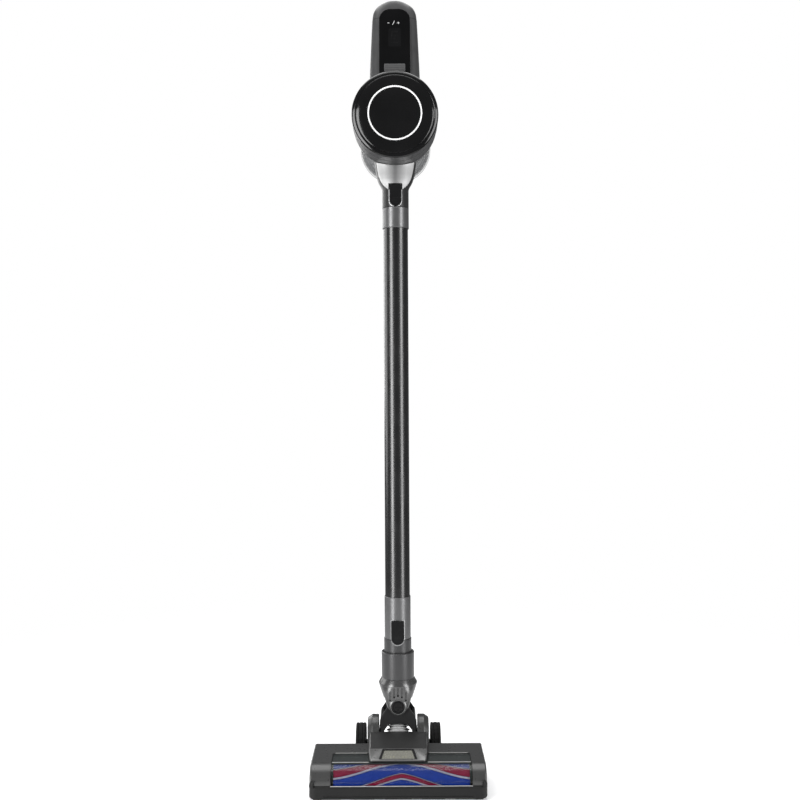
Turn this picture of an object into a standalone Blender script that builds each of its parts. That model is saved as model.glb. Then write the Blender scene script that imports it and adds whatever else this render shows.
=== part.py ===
"""Cordless stick vacuum cleaner, modelled as separate moulded, turned and bought-in pieces.

Frame: metres, +Z up, the object standing on the floor at z = 0 with its stick upright.
-Y is the front (the brush window and the round filter cap), +Y the side of the hand grip.
The helpers below take millimetres measured from the stick's own axis (x = y = 0); the
"stick_vacuum" empty carries that axis to its place, so the footprint is centred on the origin.
"""
import math

import bmesh
import bpy
from mathutils import Matrix, Vector

MM = 0.001
GAP = 0.3                      # clearance between neighbouring pieces

# ---- driving dimensions, millimetres -------------------------------------------------
BUMPER_FRONT_Y = -117.0        # foremost face of the floor head
BATTERY_REAR_Y = 155.0         # rearmost face of the battery
HEAD_HALF_W = 120.0            # floor head, half width
HEAD_REAR_Y = -20.0
HEAD_TOP_Z = 45.3
BRUSH_Y, BRUSH_Z, BRUSH_R = -89.5, 22.5, 19.0
NOSE_Y, NOSE_Z, NOSE_R = -90.0, 22.0, 23.3     # rounded front of the head cover
WINDOW_HALF_W = 96.0
WINDOW_MID = 4.5               # the window and roller sit off the middle: the belt is on the left
WINDOW_REAR_Y = -58.6
BRUSH_MOTOR_Y, BRUSH_MOTOR_Z = -43.0, 22.0
BRUSH_PULLEY_R, MOTOR_PULLEY_R = 9.0, 4.5      # two to one belt drive
PITCH_Z = 58.0                 # neck pitch axis, along X
ROLL_Z = 99.0                  # neck roll axis, along Y
WHEEL_Y, WHEEL_R, WHEEL_IN, WHEEL_OUT = 34.0, 28.0, 48.0, 63.0
SOCKET_R, SOCKET_TOP = 20.0, 192.8
SLEEVE_R, SLEEVE_TOP = 23.85, 173.5
COLLAR_R, COLLAR_TOP = 19.0, 254.3
TUBE_R, TUBE_BORE, TUBE_LOW, TUBE_HIGH = 18.0, 16.6, 226.0, 815.0
UPPER_COLLAR_R, UPPER_COLLAR_LOW, SEAM_Z = 19.3, 790.5, 820.0
CYCLONE_Z = 943.2              # height of the cyclone and bin axis, along Y
BAND_R, BODY_R, SKIRT_R = 61.4, 60.0, 57.0
BIN_R, BIN_BORE, BIN_FRONT, BIN_REAR = 54.3, 52.3, 8.0, 134.0
LID_PIN_Y, LID_PIN_Z = 137.2, 1002.5
TOP_Z = 1123.0
PANEL_Z, PANEL_Y, PANEL_LEAN = 1003.0, -32.6, math.atan2(23.0, 122.0)
HOUSING_Y = 0.0
MOTOR_Y = 9.0                  # suction motor axis, along Z
GRIP_Z = 1070.0
BATTERY_FRONT_Y = 119.0
TUBE_Y = -(BUMPER_FRONT_Y + BATTERY_REAR_Y) / 2.0

# ---- scene ---------------------------------------------------------------------------
for old in list(bpy.data.objects):
    bpy.data.objects.remove(old, do_unlink=True)

PARTS = bpy.data.collections.new("stick_vacuum")
CUTTERS = bpy.data.collections.new("cutters")
bpy.context.scene.collection.children.link(PARTS)
bpy.context.scene.collection.children.link(CUTTERS)

ROOT = bpy.data.objects.new("stick_axis", None)
ROOT.location = (0.0, TUBE_Y * MM, 0.0)
PARTS.objects.link(ROOT)


def material(name, rgb, roughness, metallic=0.0, alpha=1.0, transmission=0.0):
    m = bpy.data.materials.new(name)
    m.use_nodes = True
    b = m.node_tree.nodes["Principled BSDF"]
    b.inputs["Base Color"].default_value = (*rgb, 1.0)
    b.inputs["Roughness"].default_value = roughness
    b.inputs["Metallic"].default_value = metallic
    b.inputs["Alpha"].default_value = alpha
    b.inputs["Transmission Weight"].default_value = transmission
    m.diffuse_color = (*rgb, alpha)
    return m


GUNMETAL = material("gunmetal_plastic", (0.075, 0.075, 0.078), 0.38, 0.25)
GRAPHITE = material("graphite_plastic", (0.05, 0.05, 0.052), 0.42)
DARK = material("dark_plastic", (0.02, 0.02, 0.021), 0.45)
PIANO = material("piano_black", (0.006, 0.006, 0.007), 0.08)
PANEL = material("display_black", (0.004, 0.004, 0.005), 0.05)
BUTTON = material("button_black", (0.012, 0.012, 0.013), 0.35)
BUTTON_GREY = material("button_grey", (0.055, 0.055, 0.057), 0.4)
SILVER = material("silver_satin", (0.62, 0.62, 0.63), 0.24, 0.9)
BRIGHT = material("bright_ring", (0.85, 0.85, 0.86), 0.08, 1.0)
COLLAR = material("collar_metallic", (0.17, 0.17, 0.175), 0.3, 0.6)
TUBE = material("tube_black_metal", (0.02, 0.02, 0.021), 0.2, 0.6)
CLEAR = material("smoked_clear", (0.55, 0.56, 0.57), 0.05, 0.0, 0.35, 0.9)
LENS = material("lens_frost", (0.78, 0.78, 0.72), 0.25, 0.0, 0.8, 0.3)
BOARD = material("circuit_board", (0.02, 0.12, 0.06), 0.5)
STEEL = material("steel", (0.5, 0.5, 0.5), 0.3, 1.0)
RUBBER = material("rubber", (0.015, 0.015, 0.015), 0.8)
FIBRE = material("brush_blue", (0.03, 0.07, 0.5), 0.75)
HOSE = material("hose_grey", (0.42, 0.42, 0.42), 0.5)
FILTER = material("filter_white", (0.75, 0.75, 0.72), 0.85)
MESH = material("mesh_steel", (0.35, 0.35, 0.35), 0.4, 0.8)
PAD = material("glide_pad", (0.03, 0.03, 0.03), 0.7)
BATTERY = material("battery_case", (0.04, 0.04, 0.042), 0.5)
COPPER = material("motor_can", (0.35, 0.35, 0.36), 0.35, 0.9)
RED = material("latch_red", (0.45, 0.03, 0.03), 0.4)

# ---- helpers -------------------------------------------------------------------------
# Turns that carry a piece's own Z axis to the axis it lies along.
AIM = {"X": Matrix.Rotation(math.pi / 2, 4, "Y"),
       "Y": Matrix.Rotation(-math.pi / 2, 4, "X"),
       "Z": Matrix.Identity(4)}
# Planes an outline is drawn on: (first, second) drawing direction, and the extrusion's.
PLANES = {"YZ": Matrix(((0, 0, 1, 0), (1, 0, 0, 0), (0, 1, 0, 0), (0, 0, 0, 1))),
          "XZ": Matrix(((1, 0, 0, 0), (0, 0, -1, 0), (0, 1, 0, 0), (0, 0, 0, 1))),
          "XY": Matrix.Identity(4)}


def put(name, mesh, mat, at=(0, 0, 0), turn=None, cutter=False):
    """A named object at a place given from the stick's axis, in millimetres."""
    ob = bpy.data.objects.new(name, mesh)
    (CUTTERS if cutter else PARTS).objects.link(ob)
    ob.parent = ROOT
    ob.matrix_basis = Matrix.Translation(Vector(at) * MM) @ (turn or Matrix.Identity(4))
    if cutter:
        ob.hide_render = True
        ob.display_type = "WIRE"
    elif mat is not None:
        mesh.materials.append(mat)
    return ob


def from_bmesh(name, bm, mat, at=(0, 0, 0), turn=None, cutter=False, smooth=False):
    bmesh.ops.recalc_face_normals(bm, faces=bm.faces)
    mesh = bpy.data.meshes.new(name)
    bm.to_mesh(mesh)
    bm.free()
    if smooth:
        mesh.shade_smooth()
        mesh.set_sharp_from_angle(angle=math.radians(35))
    return put(name, mesh, mat, at, turn, cutter)


def box(name, x, y, z, mat=None, round_mm=0.0, segments=2, cutter=False):
    """A block between two x, two y and two z values, with its edges rounded if asked."""
    bm = bmesh.new()
    size = [b - a for a, b in (x, y, z)]
    mid = [(a + b) / 2 for a, b in (x, y, z)]
    bmesh.ops.create_cube(bm, size=1.0, matrix=Matrix.Diagonal((*[s * MM for s in size], 1.0)))
    ob = from_bmesh(name, bm, mat, mid, cutter=cutter)
    if round_mm:
        bev = ob.modifiers.new("Rounded", "BEVEL")
        bev.width = round_mm * MM
        bev.segments = segments
        bev.limit_method = "ANGLE"
    return ob


def rod(name, radius, axis, lo, hi, at, mat=None, sides=24, cutter=False, top=None):
    """A round bar along axis, from lo to hi; at gives the two other coordinates."""
    bm = bmesh.new()
    bmesh.ops.create_cone(bm, cap_ends=True, segments=sides, radius1=radius * MM,
                          radius2=(radius if top is None else top) * MM, depth=(hi - lo) * MM)
    mid = (lo + hi) / 2
    place = {"X": (mid, at[0], at[1]), "Y": (at[0], mid, at[1]), "Z": (at[0], at[1], mid)}[axis]
    return from_bmesh(name, bm, mat, place, AIM[axis], cutter, smooth=not cutter)


def turned(name, profile, axis, at, mat=None, steps=32, closed=True, cutter=False):
    """A profile of (radius, place along the axis) turned about the axis.

    It runs down the outer side first. A closed profile is a ring; an open one starts
    and ends on the axis."""
    mesh = bpy.data.meshes.new(name)
    points = [(r * MM, 0.0, h * MM) for r, h in profile]
    edges = [(i, i + 1) for i in range(len(points) - 1)]
    if closed:
        edges.append((len(points) - 1, 0))
    mesh.from_pydata(points, edges, [])
    ob = put(name, mesh, mat, at, AIM[axis], cutter)
    turn = ob.modifiers.new("Turned", "SCREW")
    turn.axis = "Z"
    turn.angle = 2 * math.pi
    turn.steps = turn.render_steps = steps
    turn.use_merge_vertices = True
    turn.merge_threshold = 0.00001
    turn.use_smooth_shade = True
    return ob


def outline_mesh(loops, thickness):
    """A filled flat outline with its thickness, made from a 2D curve and welded."""
    curve = bpy.data.curves.new("outline", "CURVE")
    curve.dimensions = "2D"
    curve.fill_mode = "BOTH"
    curve.extrude = thickness / 2 * MM
    for loop in loops:
        spline = curve.splines.new("POLY")
        spline.points.add(len(loop) - 1)
        for point, (u, v) in zip(spline.points, loop):
            point.co = (u * MM, v * MM, 0.0, 1.0)
        spline.use_cyclic_u = True
    guide = bpy.data.objects.new("outline", curve)
    bpy.context.scene.collection.objects.link(guide)
    graph = bpy.context.evaluated_depsgraph_get()
    mesh = bpy.data.meshes.new_from_object(guide.evaluated_get(graph), depsgraph=graph)
    bpy.data.objects.remove(guide, do_unlink=True)
    bm = bmesh.new()
    bm.from_mesh(mesh)
    bpy.data.meshes.remove(mesh)
    bmesh.ops.remove_doubles(bm, verts=bm.verts, dist=0.000001)
    return bm


def prism(name, loops, plane, lo, hi, mat=None, cutter=False):
    """An outline drawn on a plane and carried from lo to hi along the plane's normal."""
    if not isinstance(loops[0], list):
        loops = [loops]
    bm = outline_mesh(loops, hi - lo)
    bmesh.ops.transform(bm, matrix=PLANES[plane], verts=bm.verts)
    mid = (lo + hi) / 2
    at = {"YZ": (mid, 0, 0), "XZ": (0, mid, 0), "XY": (0, 0, mid)}[plane]
    return from_bmesh(name, bm, mat, at, cutter=cutter)


def loft(name, rings, mat=None, cutter=False, smooth=True):
    """A closed solid through rings of points, with flat ends, for unlike sections."""
    bm = bmesh.new()
    rows = [[bm.verts.new(Vector(p) * MM) for p in ring] for ring in rings]
    n = len(rings[0])
    for low, high in zip(rows, rows[1:]):
        for i in range(n):
            j = (i + 1) % n
            bm.faces.new((low[i], low[j], high[j], high[i]))
    bm.faces.new(rows[0])
    bm.faces.new(rows[-1])
    return from_bmesh(name, bm, mat, cutter=cutter, smooth=smooth)


def combine(ob, other, how="DIFFERENCE"):
    mod = ob.modifiers.new(how.title(), "BOOLEAN")
    mod.operation = how
    mod.solver = "EXACT"
    mod.object = other
    return ob


def arc(cx, cy, r, start, end, n):
    """n + 1 points of a circle from one angle to another, in degrees."""
    return [(cx + r * math.cos(math.radians(start + (end - start) * i / n)),
             cy + r * math.sin(math.radians(start + (end - start) * i / n)))
            for i in range(n + 1)]


def squircle(w, d, power, n=32, cx=0.0, cy=0.0):
    """A rounded rectangle, w and d half wide and deep."""
    out = []
    for i in range(n):
        a = 2 * math.pi * (i + 0.5) / n
        c, s = math.cos(a), math.sin(a)
        out.append((cx + w * math.copysign(abs(c) ** (2 / power), c),
                    cy + d * math.copysign(abs(s) ** (2 / power), s)))
    return out


def rounded_rect(x0, x1, y0, y1, r, n=4):
    return (arc(x1 - r, y1 - r, r, 0, 90, n) + arc(x0 + r, y1 - r, r, 90, 180, n)
            + arc(x0 + r, y0 + r, r, 180, 270, n) + arc(x1 - r, y0 + r, r, 270, 360, n))


# ---- floor head ----------------------------------------------------------------------
def head_profile(inset, foot, tail_y):
    """Side outline of the head's top: flat deck, then the rounded nose over the brush."""
    r = NOSE_R - inset
    pts = [(tail_y, foot), (tail_y, HEAD_TOP_Z - 2.5 - inset), (tail_y - 2.5, HEAD_TOP_Z - inset)]
    return pts + arc(NOSE_Y, NOSE_Z, r, 90, 180, 8)


base = box("head_base", (-117.2, 117.2), (-113.6, -22.8), (4.0, 20.4), GRAPHITE)
combine(base, box("cut_base_front", (-114.4, 114.4), (-110.6, -66.0), (6.5, 40), cutter=True))
combine(base, box("cut_base_rear", (-114.4, 114.4), (-63.5, -25.5), (6.5, 40), cutter=True))
combine(base, box("cut_base_mouth", (WINDOW_MID - 97.2, WINDOW_MID + 97.2), (-106.5, -70.5), (-4, 10), cutter=True))
combine(base, box("cut_base_belt", (-107.0, -98.0), (-70, -60), (8.5, 40), cutter=True))
for side in (-1, 1):
    combine(base, rod("cut_base_screw%d" % side, 3.8, "Z", -2, 10, (side * 30.0, -40.0), sides=16, cutter=True))

outer = head_profile(0.0, 5.0, HEAD_REAR_Y) + [(NOSE_Y - NOSE_R, 20.8), (-99.8, 20.8), (-99.8, 5.0)]
cover = prism("head_cover", outer, "YZ", -HEAD_HALF_W, HEAD_HALF_W, GRAPHITE)
inner = head_profile(2.4, 0.0, HEAD_REAR_Y - 2.4) + [(NOSE_Y - NOSE_R + 2.4, 0.0)]
combine(cover, prism("cut_cover_inside", inner, "YZ", -117.5, 117.5, cutter=True))
combine(cover, box("cut_cover_window", (WINDOW_MID - WINDOW_HALF_W, WINDOW_MID + WINDOW_HALF_W), (-130, WINDOW_REAR_Y), (-5, 60), cutter=True))
combine(cover, rod("cut_cover_hose", 15.0, "Y", -30, -10, (0, 53.0), sides=24, cutter=True))

bumper_out = rounded_rect(-120.6, 120.6, BUMPER_FRONT_Y, -60.0, 10.0, 4)
bumper_in = [(-117.6, -113.9), (117.6, -113.9), (117.6, -55.0), (-117.6, -55.0)]
bumper = prism("front_bumper", bumper_out, "XY", 3.4, 20.4, RUBBER)
combine(bumper, prism("cut_bumper_inside", bumper_in, "XY", -5, 30, cutter=True))
combine(bumper, box("cut_bumper_rear", (-130, 130), (-100.2, -50), (-5, 30), cutter=True))

pane_out = [(WINDOW_REAR_Y - 0.5, 44.2)] + arc(NOSE_Y, NOSE_Z, 22.2, 90, 176, 8)
pane_in = arc(NOSE_Y, NOSE_Z, 20.4, 176, 90, 8) + [(WINDOW_REAR_Y - 0.5, 42.4)]
prism("brush_window", pane_out + pane_in, "YZ", WINDOW_MID - 95.6, WINDOW_MID + 95.6, CLEAR)


def housing_face(y):
    """Height of the central housing's sloping front face."""
    return 45.6 + (y + 91.0) * (53.4 - 45.6) / 27.0


shell = [(-91.0, 44.9), (-60.0, 44.9), (-57.6, 45.8), (-19.2, 45.8), (-19.2, 62.0),
         (-24.0, 61.2), (-64.0, 53.4), (-91.0, 45.5)]
bm = outline_mesh([shell[::-1]], 85.0)
bmesh.ops.transform(bm, matrix=PLANES["YZ"], verts=bm.verts)
for v in bm.verts:                      # the sides draw in towards the top
    if v.co.z > 0.047:
        v.co.x *= 40.2 / 42.5
housing = from_bmesh("central_housing", bm, GRAPHITE)
cavity = [(-84.0, 40.0), (-84.0, 45.0), (-64.4, 50.7), (-24.6, 58.6), (-24.6, 40.0)]
combine(housing, prism("cut_housing_inside", cavity, "YZ", -37.5, 37.5, cutter=True))
lens_cut = [(-20.5, -67.5), (20.5, -67.5), (24.8, -87.6), (-24.8, -87.6)]
combine(housing, prism("cut_housing_lens", lens_cut, "XY", 40.0, 60.0, cutter=True))


def ear_outline(lobe, boss, rear):
    """Side outline of an ear: the lobe round the pitch axis and the foot to the wheel axle."""
    foot = min(19.4, lobe - 0.6)
    pts = [(-foot, 14.0)] + arc(WHEEL_Y, WHEEL_R, boss, -100, 40, 6)
    pts += arc(0.0, PITCH_Z, lobe, rear, 180, 10)
    return pts + [(-lobe, 46.2), (-foot, 46.2)]


for side in (-1, 1):
    rings = []
    for x, lobe, boss in ((27.6, 22.2, 12.0), (37.5, 22.2, 12.0), (44.5, 17.4, 9.0)):
        rings.append([(side * x, y, z) for y, z in ear_outline(lobe, boss, 5.0)])
    ear = loft("ear%d" % side, rings, cutter=True)
    combine(housing, ear, "UNION")
    combine(housing, rod("axle%d" % side, 4.0, "X", *sorted((side * 42.0, side * 64.0)),
                         (WHEEL_Y, WHEEL_R), sides=16, cutter=True), "UNION")
combine(housing, box("bridge", (-34.0, 34.0), (-19.4, 8.0), (14.0, 26.0), cutter=True), "UNION")
combine(housing, rod("cut_housing_swing", 22.6, "X", -27.4, 27.4, (0, PITCH_Z), sides=40, cutter=True))
combine(housing, rod("cut_housing_hinge", 6.3, "X", -60, 60, (0, PITCH_Z), sides=24, cutter=True))
combine(housing, rod("cut_housing_hose", 15.0, "Y", -30, -10, (0, 53.0), sides=24, cutter=True))

# The lens lies in the front face's opening, with the light board under it.
lens = []
for y, w in ((-87.2, 24.3), (-67.9, 20.1)):
    top = housing_face(y) - 0.4
    low = max(44.95, top - 1.8)
    lens.append([(-w, y, low), (w, y, low), (w, y, top), (-w, y, top)])
loft("light_lens", lens, LENS, smooth=False)
box("light_board", (-17.0, 17.0), (-80.0, -66.5), (44.7, 45.7), BOARD)

box("glide_pad_left", (-116.0, -103.0), (-109.0, -96.0), (0.0, 3.7), PAD, 1.0, 1)
box("glide_pad_right", (103.0, 116.0), (-109.0, -96.0), (0.0, 3.7), PAD, 1.0, 1)
rod("base_screw_left", 3.4, "Z", 4.3, 14.0, (-30.0, -40.0), STEEL, sides=12)
rod("base_screw_right", 3.4, "Z", 4.3, 14.0, (30.0, -40.0), STEEL, sides=12)

for name, x0, x1 in (("brush_bearing_left", -97.9, -94.0), ("brush_bearing_right", 103.0, 106.9)):
    block = box(name, (x0, x1), (-97.5, -81.5), (6.8, 32.0), DARK, 1.5, 1)
    combine(block, rod("cut_" + name, 4.3, "X", x0 - 3.0, x1 + 3.0, (BRUSH_Y, BRUSH_Z), sides=16, cutter=True))

# ---- brush roller, its motor and the belt --------------------------------------------
core = [(0, 107.5), (4.0, 107.5), (4.0, 101.0), (18.2, 101.0), (18.2, 97.7), (15.0, 97.7),
        (15.0, -88.7), (18.2, -88.7), (18.2, -92.0), (4.0, -92.0), (4.0, -107.0), (0, -107.0)]
turned("brush_core", core, "X", (0, BRUSH_Y, BRUSH_Z), DARK, 24, closed=False)
turned("brush_fibres", [(BRUSH_R, 97.3), (BRUSH_R, -88.3), (15.3, -88.3), (15.3, 97.3)],
       "X", (0, BRUSH_Y, BRUSH_Z), FIBRE, 32)
turned("brush_pulley", [(BRUSH_PULLEY_R, -100.0), (BRUSH_PULLEY_R, -105.0), (4.3, -105.0), (4.3, -100.0)],
       "X", (0, BRUSH_Y, BRUSH_Z), DARK, 24)
turned("brush_motor", [(0, -37.5), (13.0, -37.5), (13.0, -89.5), (1.5, -89.5), (1.5, -106.5), (0, -106.5)],
       "X", (0, BRUSH_MOTOR_Y, BRUSH_MOTOR_Z), COPPER, 24, closed=False)
turned("motor_pulley", [(MOTOR_PULLEY_R, -100.0), (MOTOR_PULLEY_R, -105.0), (1.8, -105.0), (1.8, -100.0)],
       "X", (0, BRUSH_MOTOR_Y, BRUSH_MOTOR_Z), STEEL, 20)


def belt_loop(extra, n=12):
    """The belt's line round both pulleys, extra outside them."""
    dy, dz = BRUSH_MOTOR_Y - BRUSH_Y, BRUSH_MOTOR_Z - BRUSH_Z
    lean = math.degrees(math.atan2(dz, dy))
    spread = math.degrees(math.acos((BRUSH_PULLEY_R - MOTOR_PULLEY_R) / math.hypot(dy, dz)))
    big = arc(BRUSH_Y, BRUSH_Z, BRUSH_PULLEY_R + extra, lean + spread, lean + 360 - spread, n)
    small = arc(BRUSH_MOTOR_Y, BRUSH_MOTOR_Z, MOTOR_PULLEY_R + extra, lean - spread, lean + spread, n)
    return big + small


prism("drive_belt", [belt_loop(1.5), belt_loop(0.35)], "YZ", -104.5, -100.5, RUBBER)

# ---- wheels --------------------------------------------------------------------------
for side, name in ((-1, "rear_wheel_left"), (1, "rear_wheel_right")):
    a, b = sorted((side * WHEEL_IN, side * WHEEL_OUT))
    mid = (a + b) / 2
    h = (b - a) / 2
    wheel = [(WHEEL_R - 1.6, h), (WHEEL_R, h - 1.8), (WHEEL_R, -h + 1.8), (WHEEL_R - 1.6, -h),
             (20.0, -h), (19.0, -h + 2.5), (8.0, -h + 2.5), (7.0, -h), (4.3, -h),
             (4.3, h), (7.0, h), (8.0, h - 2.5), (19.0, h - 2.5), (20.0, h)]
    turned(name, wheel, "X", (mid, WHEEL_Y, WHEEL_R), RUBBER, 28)

# ---- neck: yoke on the pitch axis, funnel on the roll axis ---------------------------
yoke_out = [(-25.8, 60.0), (25.8, 60.0), (25.8, 82.0)] + arc(0, ROLL_Z, 13.0, 10, 170, 8) + [(-25.8, 82.0)]
yoke = prism("lower_neck", yoke_out, "XZ", -20.0, 20.0, DARK)
combine(yoke, box("cut_yoke_inside", (-20.6, 20.6), (-17.3, 17.3), (40, 84.5), cutter=True))
combine(yoke, box("cut_yoke_upper", (-40, 40), (-17.3, 17.3), (84.4, 130), cutter=True))
arch = [(-20.6, 40.0), (20.6, 40.0), (20.6, 62.0), (17.0, 67.5), (13.2, 71.2), (9.5, 72.6),
        (-9.5, 72.6), (-13.2, 71.2), (-17.0, 67.5), (-20.6, 62.0)]
combine(yoke, prism("cut_yoke_arch", arch, "XZ", -30, 30, cutter=True))
for side in (-1, 1):
    combine(yoke, rod("yoke_leg%d" % side, 14.5, "X", *sorted((side * 20.6, side * 26.8)),
                      (0, PITCH_Z), sides=32, cutter=True), "UNION")
    pin = rod("hinge_pin_" + ("left" if side < 0 else "right"), 6.0, "X",
              *sorted((side * 20.9, side * 43.5)), (0, PITCH_Z), STEEL, sides=24)
combine(yoke, rod("cut_yoke_hinge", 6.3, "X", -60, 60, (0, PITCH_Z), sides=24, cutter=True))
combine(yoke, rod("cut_yoke_swivel", 5.3, "Y", -60, 60, (0, ROLL_Z), sides=24, cutter=True))

plate = arc(0, ROLL_Z, 12.5, 205, 335, 8) + [(16.6, 98.0), (28.2, 128.4), (28.2, 136.0),
                                             (-28.2, 136.0), (-28.2, 128.4), (-16.6, 98.0)]
funnel = prism("upper_neck", plate, "XZ", -25.0, 25.0, GUNMETAL)
combine(funnel, turned("funnel_round", [(0, 137.0), (24.2, 137.0), (24.2, 135.6), (28.3, 128.2), (28.3, 60.0), (0, 60.0)],
                       "Z", (0, 0, 0), steps=48, closed=False, cutter=True), "INTERSECT")
combine(funnel, box("cut_funnel_inside", (-40, 40), (-20.5, 20.5), (70, 110.5), cutter=True))
hollow = [[(-w, -20.5, z), (w, -20.5, z), (w, 20.5, z), (-w, 20.5, z)] for z, w in ((109.0, 18.8), (128.0, 18.8))]
combine(funnel, loft("cut_funnel_hollow", hollow, cutter=True))
combine(funnel, rod("cut_funnel_socket", 20.3, "Z", 100, 150, (0, 0), sides=32, cutter=True))
combine(funnel, rod("cut_funnel_swivel", 5.3, "Y", -60, 0, (0, ROLL_Z), sides=24, cutter=True))
combine(funnel, rod("funnel_stub", 5.0, "Y", 17.6, 22.0, (0, ROLL_Z), sides=24, cutter=True), "UNION")
rod("swivel_pin", 5.0, "Y", -24.9, -17.5, (0, ROLL_Z), STEEL, sides=24)
turned("swivel_cap", [(0, -25.3), (8.9, -25.3), (8.9, -27.2), (7.8, -27.9), (0, -27.2)],
       "Y", (0, 0, ROLL_Z), BUTTON, 24, closed=False)

turned("neck_sleeve", [(SLEEVE_R - 0.6, SLEEVE_TOP), (SLEEVE_R, SLEEVE_TOP - 0.8), (SLEEVE_R, 136.3),
                       (20.3, 136.3), (20.3, SLEEVE_TOP)],
       "Z", (0, 0, 0), GUNMETAL, 32)
socket = turned("neck_socket", [(SOCKET_R, SOCKET_TOP), (SOCKET_R, 128.3), (16.3, 128.3), (16.3, SOCKET_TOP)],
                "Z", (0, 0, 0), GUNMETAL, 32)
combine(socket, box("cut_socket_notch", (-9.9, 9.9), (-30, -12), (186.2, 230), cutter=True))


def hose(name, points, radius, mat):
    """A hose as a curve with a round bevel and filled ends."""
    curve = bpy.data.curves.new(name, "CURVE")
    curve.dimensions = "3D"
    curve.bevel_depth = radius * MM
    curve.bevel_resolution = 4
    curve.use_fill_caps = True
    spline = curve.splines.new("POLY")
    spline.points.add(len(points) - 1)
    for p, co in zip(spline.points, points):
        p.co = (*(Vector(co) * MM), 1.0)
    ob = bpy.data.objects.new(name, curve)
    PARTS.objects.link(ob)
    ob.parent = ROOT
    curve.materials.append(mat)
    return ob


bend = [(0, -16.0 + y, 69.0 + z) for y, z in arc(0, 0, 16.0, -90, 0, 6)]
hose("neck_hose_lower", [(0, -26.0, 53.0), (0, -21.0, 53.0)] + bend + [(0, 0, 78.0), (0, 0, 88.0)], 14.0, HOSE)
hose("neck_hose_upper", [(0, 0, 88.6), (0, 0, 101.0), (0, 0, 114.0), (0, 0, 127.6)], 14.0, HOSE)

# ---- wand ----------------------------------------------------------------------------
collar = turned("lower_collar", [(COLLAR_R, COLLAR_TOP), (COLLAR_R, 193.1), (15.9, 193.1), (15.9, 150.0),
                                 (13.9, 150.0), (13.9, 225.7), (18.3, 225.7), (18.3, COLLAR_TOP)],
                "Z", (0, 0, 0), COLLAR, 32)
combine(collar, box("cut_collar_pocket", (-9.7, 9.7), (-30, -15.95), (186.0, 221.5), cutter=True))
button = [(9.3, 219.5), (7.8, 221.0), (-7.8, 221.0), (-9.3, 219.5)] + arc(0, 196.3, 9.3, 180, 360, 8)
prism("lower_release_button", button, "XZ", -22.0, -18.6, BUTTON)
turned("wand_tube", [(TUBE_R, TUBE_HIGH), (TUBE_R, TUBE_LOW), (TUBE_BORE, TUBE_LOW), (TUBE_BORE, TUBE_HIGH)],
       "Z", (0, 0, 0), TUBE, 32)
turned("upper_collar", [(15.6, 862.0), (15.6, SEAM_Z), (UPPER_COLLAR_R, SEAM_Z), (UPPER_COLLAR_R, UPPER_COLLAR_LOW),
                        (18.3, UPPER_COLLAR_LOW), (18.3, 815.4), (13.6, 815.4), (13.6, 862.0)],
       "Z", (0, 0, 0), COLLAR, 32)
rod("wire_conduit", 2.2, "Z", 228.0, 813.0, (0, 12.5), DARK, sides=8)

# ---- main unit: inlet neck, cyclone and bin ------------------------------------------
neck_sections = [(820.5, 19.3, 19.3), (847.5, 19.3, 19.3), (851.0, 20.6, 19.9), (855.5, 23.2, 20.9),
                 (860.0, 25.3, 21.9), (867.0, 27.4, 23.0), (877.0, 29.2, 23.7), (896.0, 31.4, 24.3)]


def neck_at(z):
    """Half width and half depth of the inlet neck at a height."""
    for (z0, a0, b0), (z1, a1, b1) in zip(neck_sections, neck_sections[1:]):
        if z <= z1:
            t = max(0.0, (z - z0) / (z1 - z0))
            return a0 + t * (a1 - a0), b0 + t * (b1 - b0)
    return neck_sections[-1][1:]


inlet = loft("inlet_neck", [[(x, y, z) for x, y in squircle(a, b, 2.0)] for z, a, b in neck_sections], GRAPHITE)
combine(inlet, rod("cut_inlet_saddle", BODY_R + 0.4, "Y", -80, 60, (0, CYCLONE_Z), sides=64, cutter=True))
combine(inlet, rod("cut_inlet_bore", 16.0, "Z", 800, 864.4, (0, 0), sides=32, cutter=True))
combine(inlet, rod("cut_inlet_way", 12.0, "Z", 850, 900, (0, -6.0), sides=24, cutter=True))
combine(inlet, box("cut_inlet_pocket", (-9.1, 9.1), (-30, -17.0), (800, 852.4), cutter=True))

up_button = [(8.7, 850.6), (7.3, 852.0), (-7.3, 852.0), (-8.7, 850.6)] + arc(0, 829.6, 8.7, 180, 360, 8)
prism("upper_release_button", up_button, "XZ", -22.6, -19.2, BUTTON)

# The silver cover is a curved plate wrapped round the neck's front.
cover_edge = [(845.0, 10.5), (847.5, 13.5), (851.0, 17.0), (855.0, 20.0), (860.0, 22.4),
              (867.0, 24.6), (877.0, 26.6), (890.0, 28.4)]


def wrap(z, w, out, i, n):
    """Point i of n + 1 across the plate at a height, out millimetres off the neck."""
    a, b = neck_at(z)
    swing = math.asin(w / (a + 2.6)) * (2 * i / n - 1)
    return Vector(((a + out) * math.sin(swing), -(b + out) * math.cos(swing), z)) * MM


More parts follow.
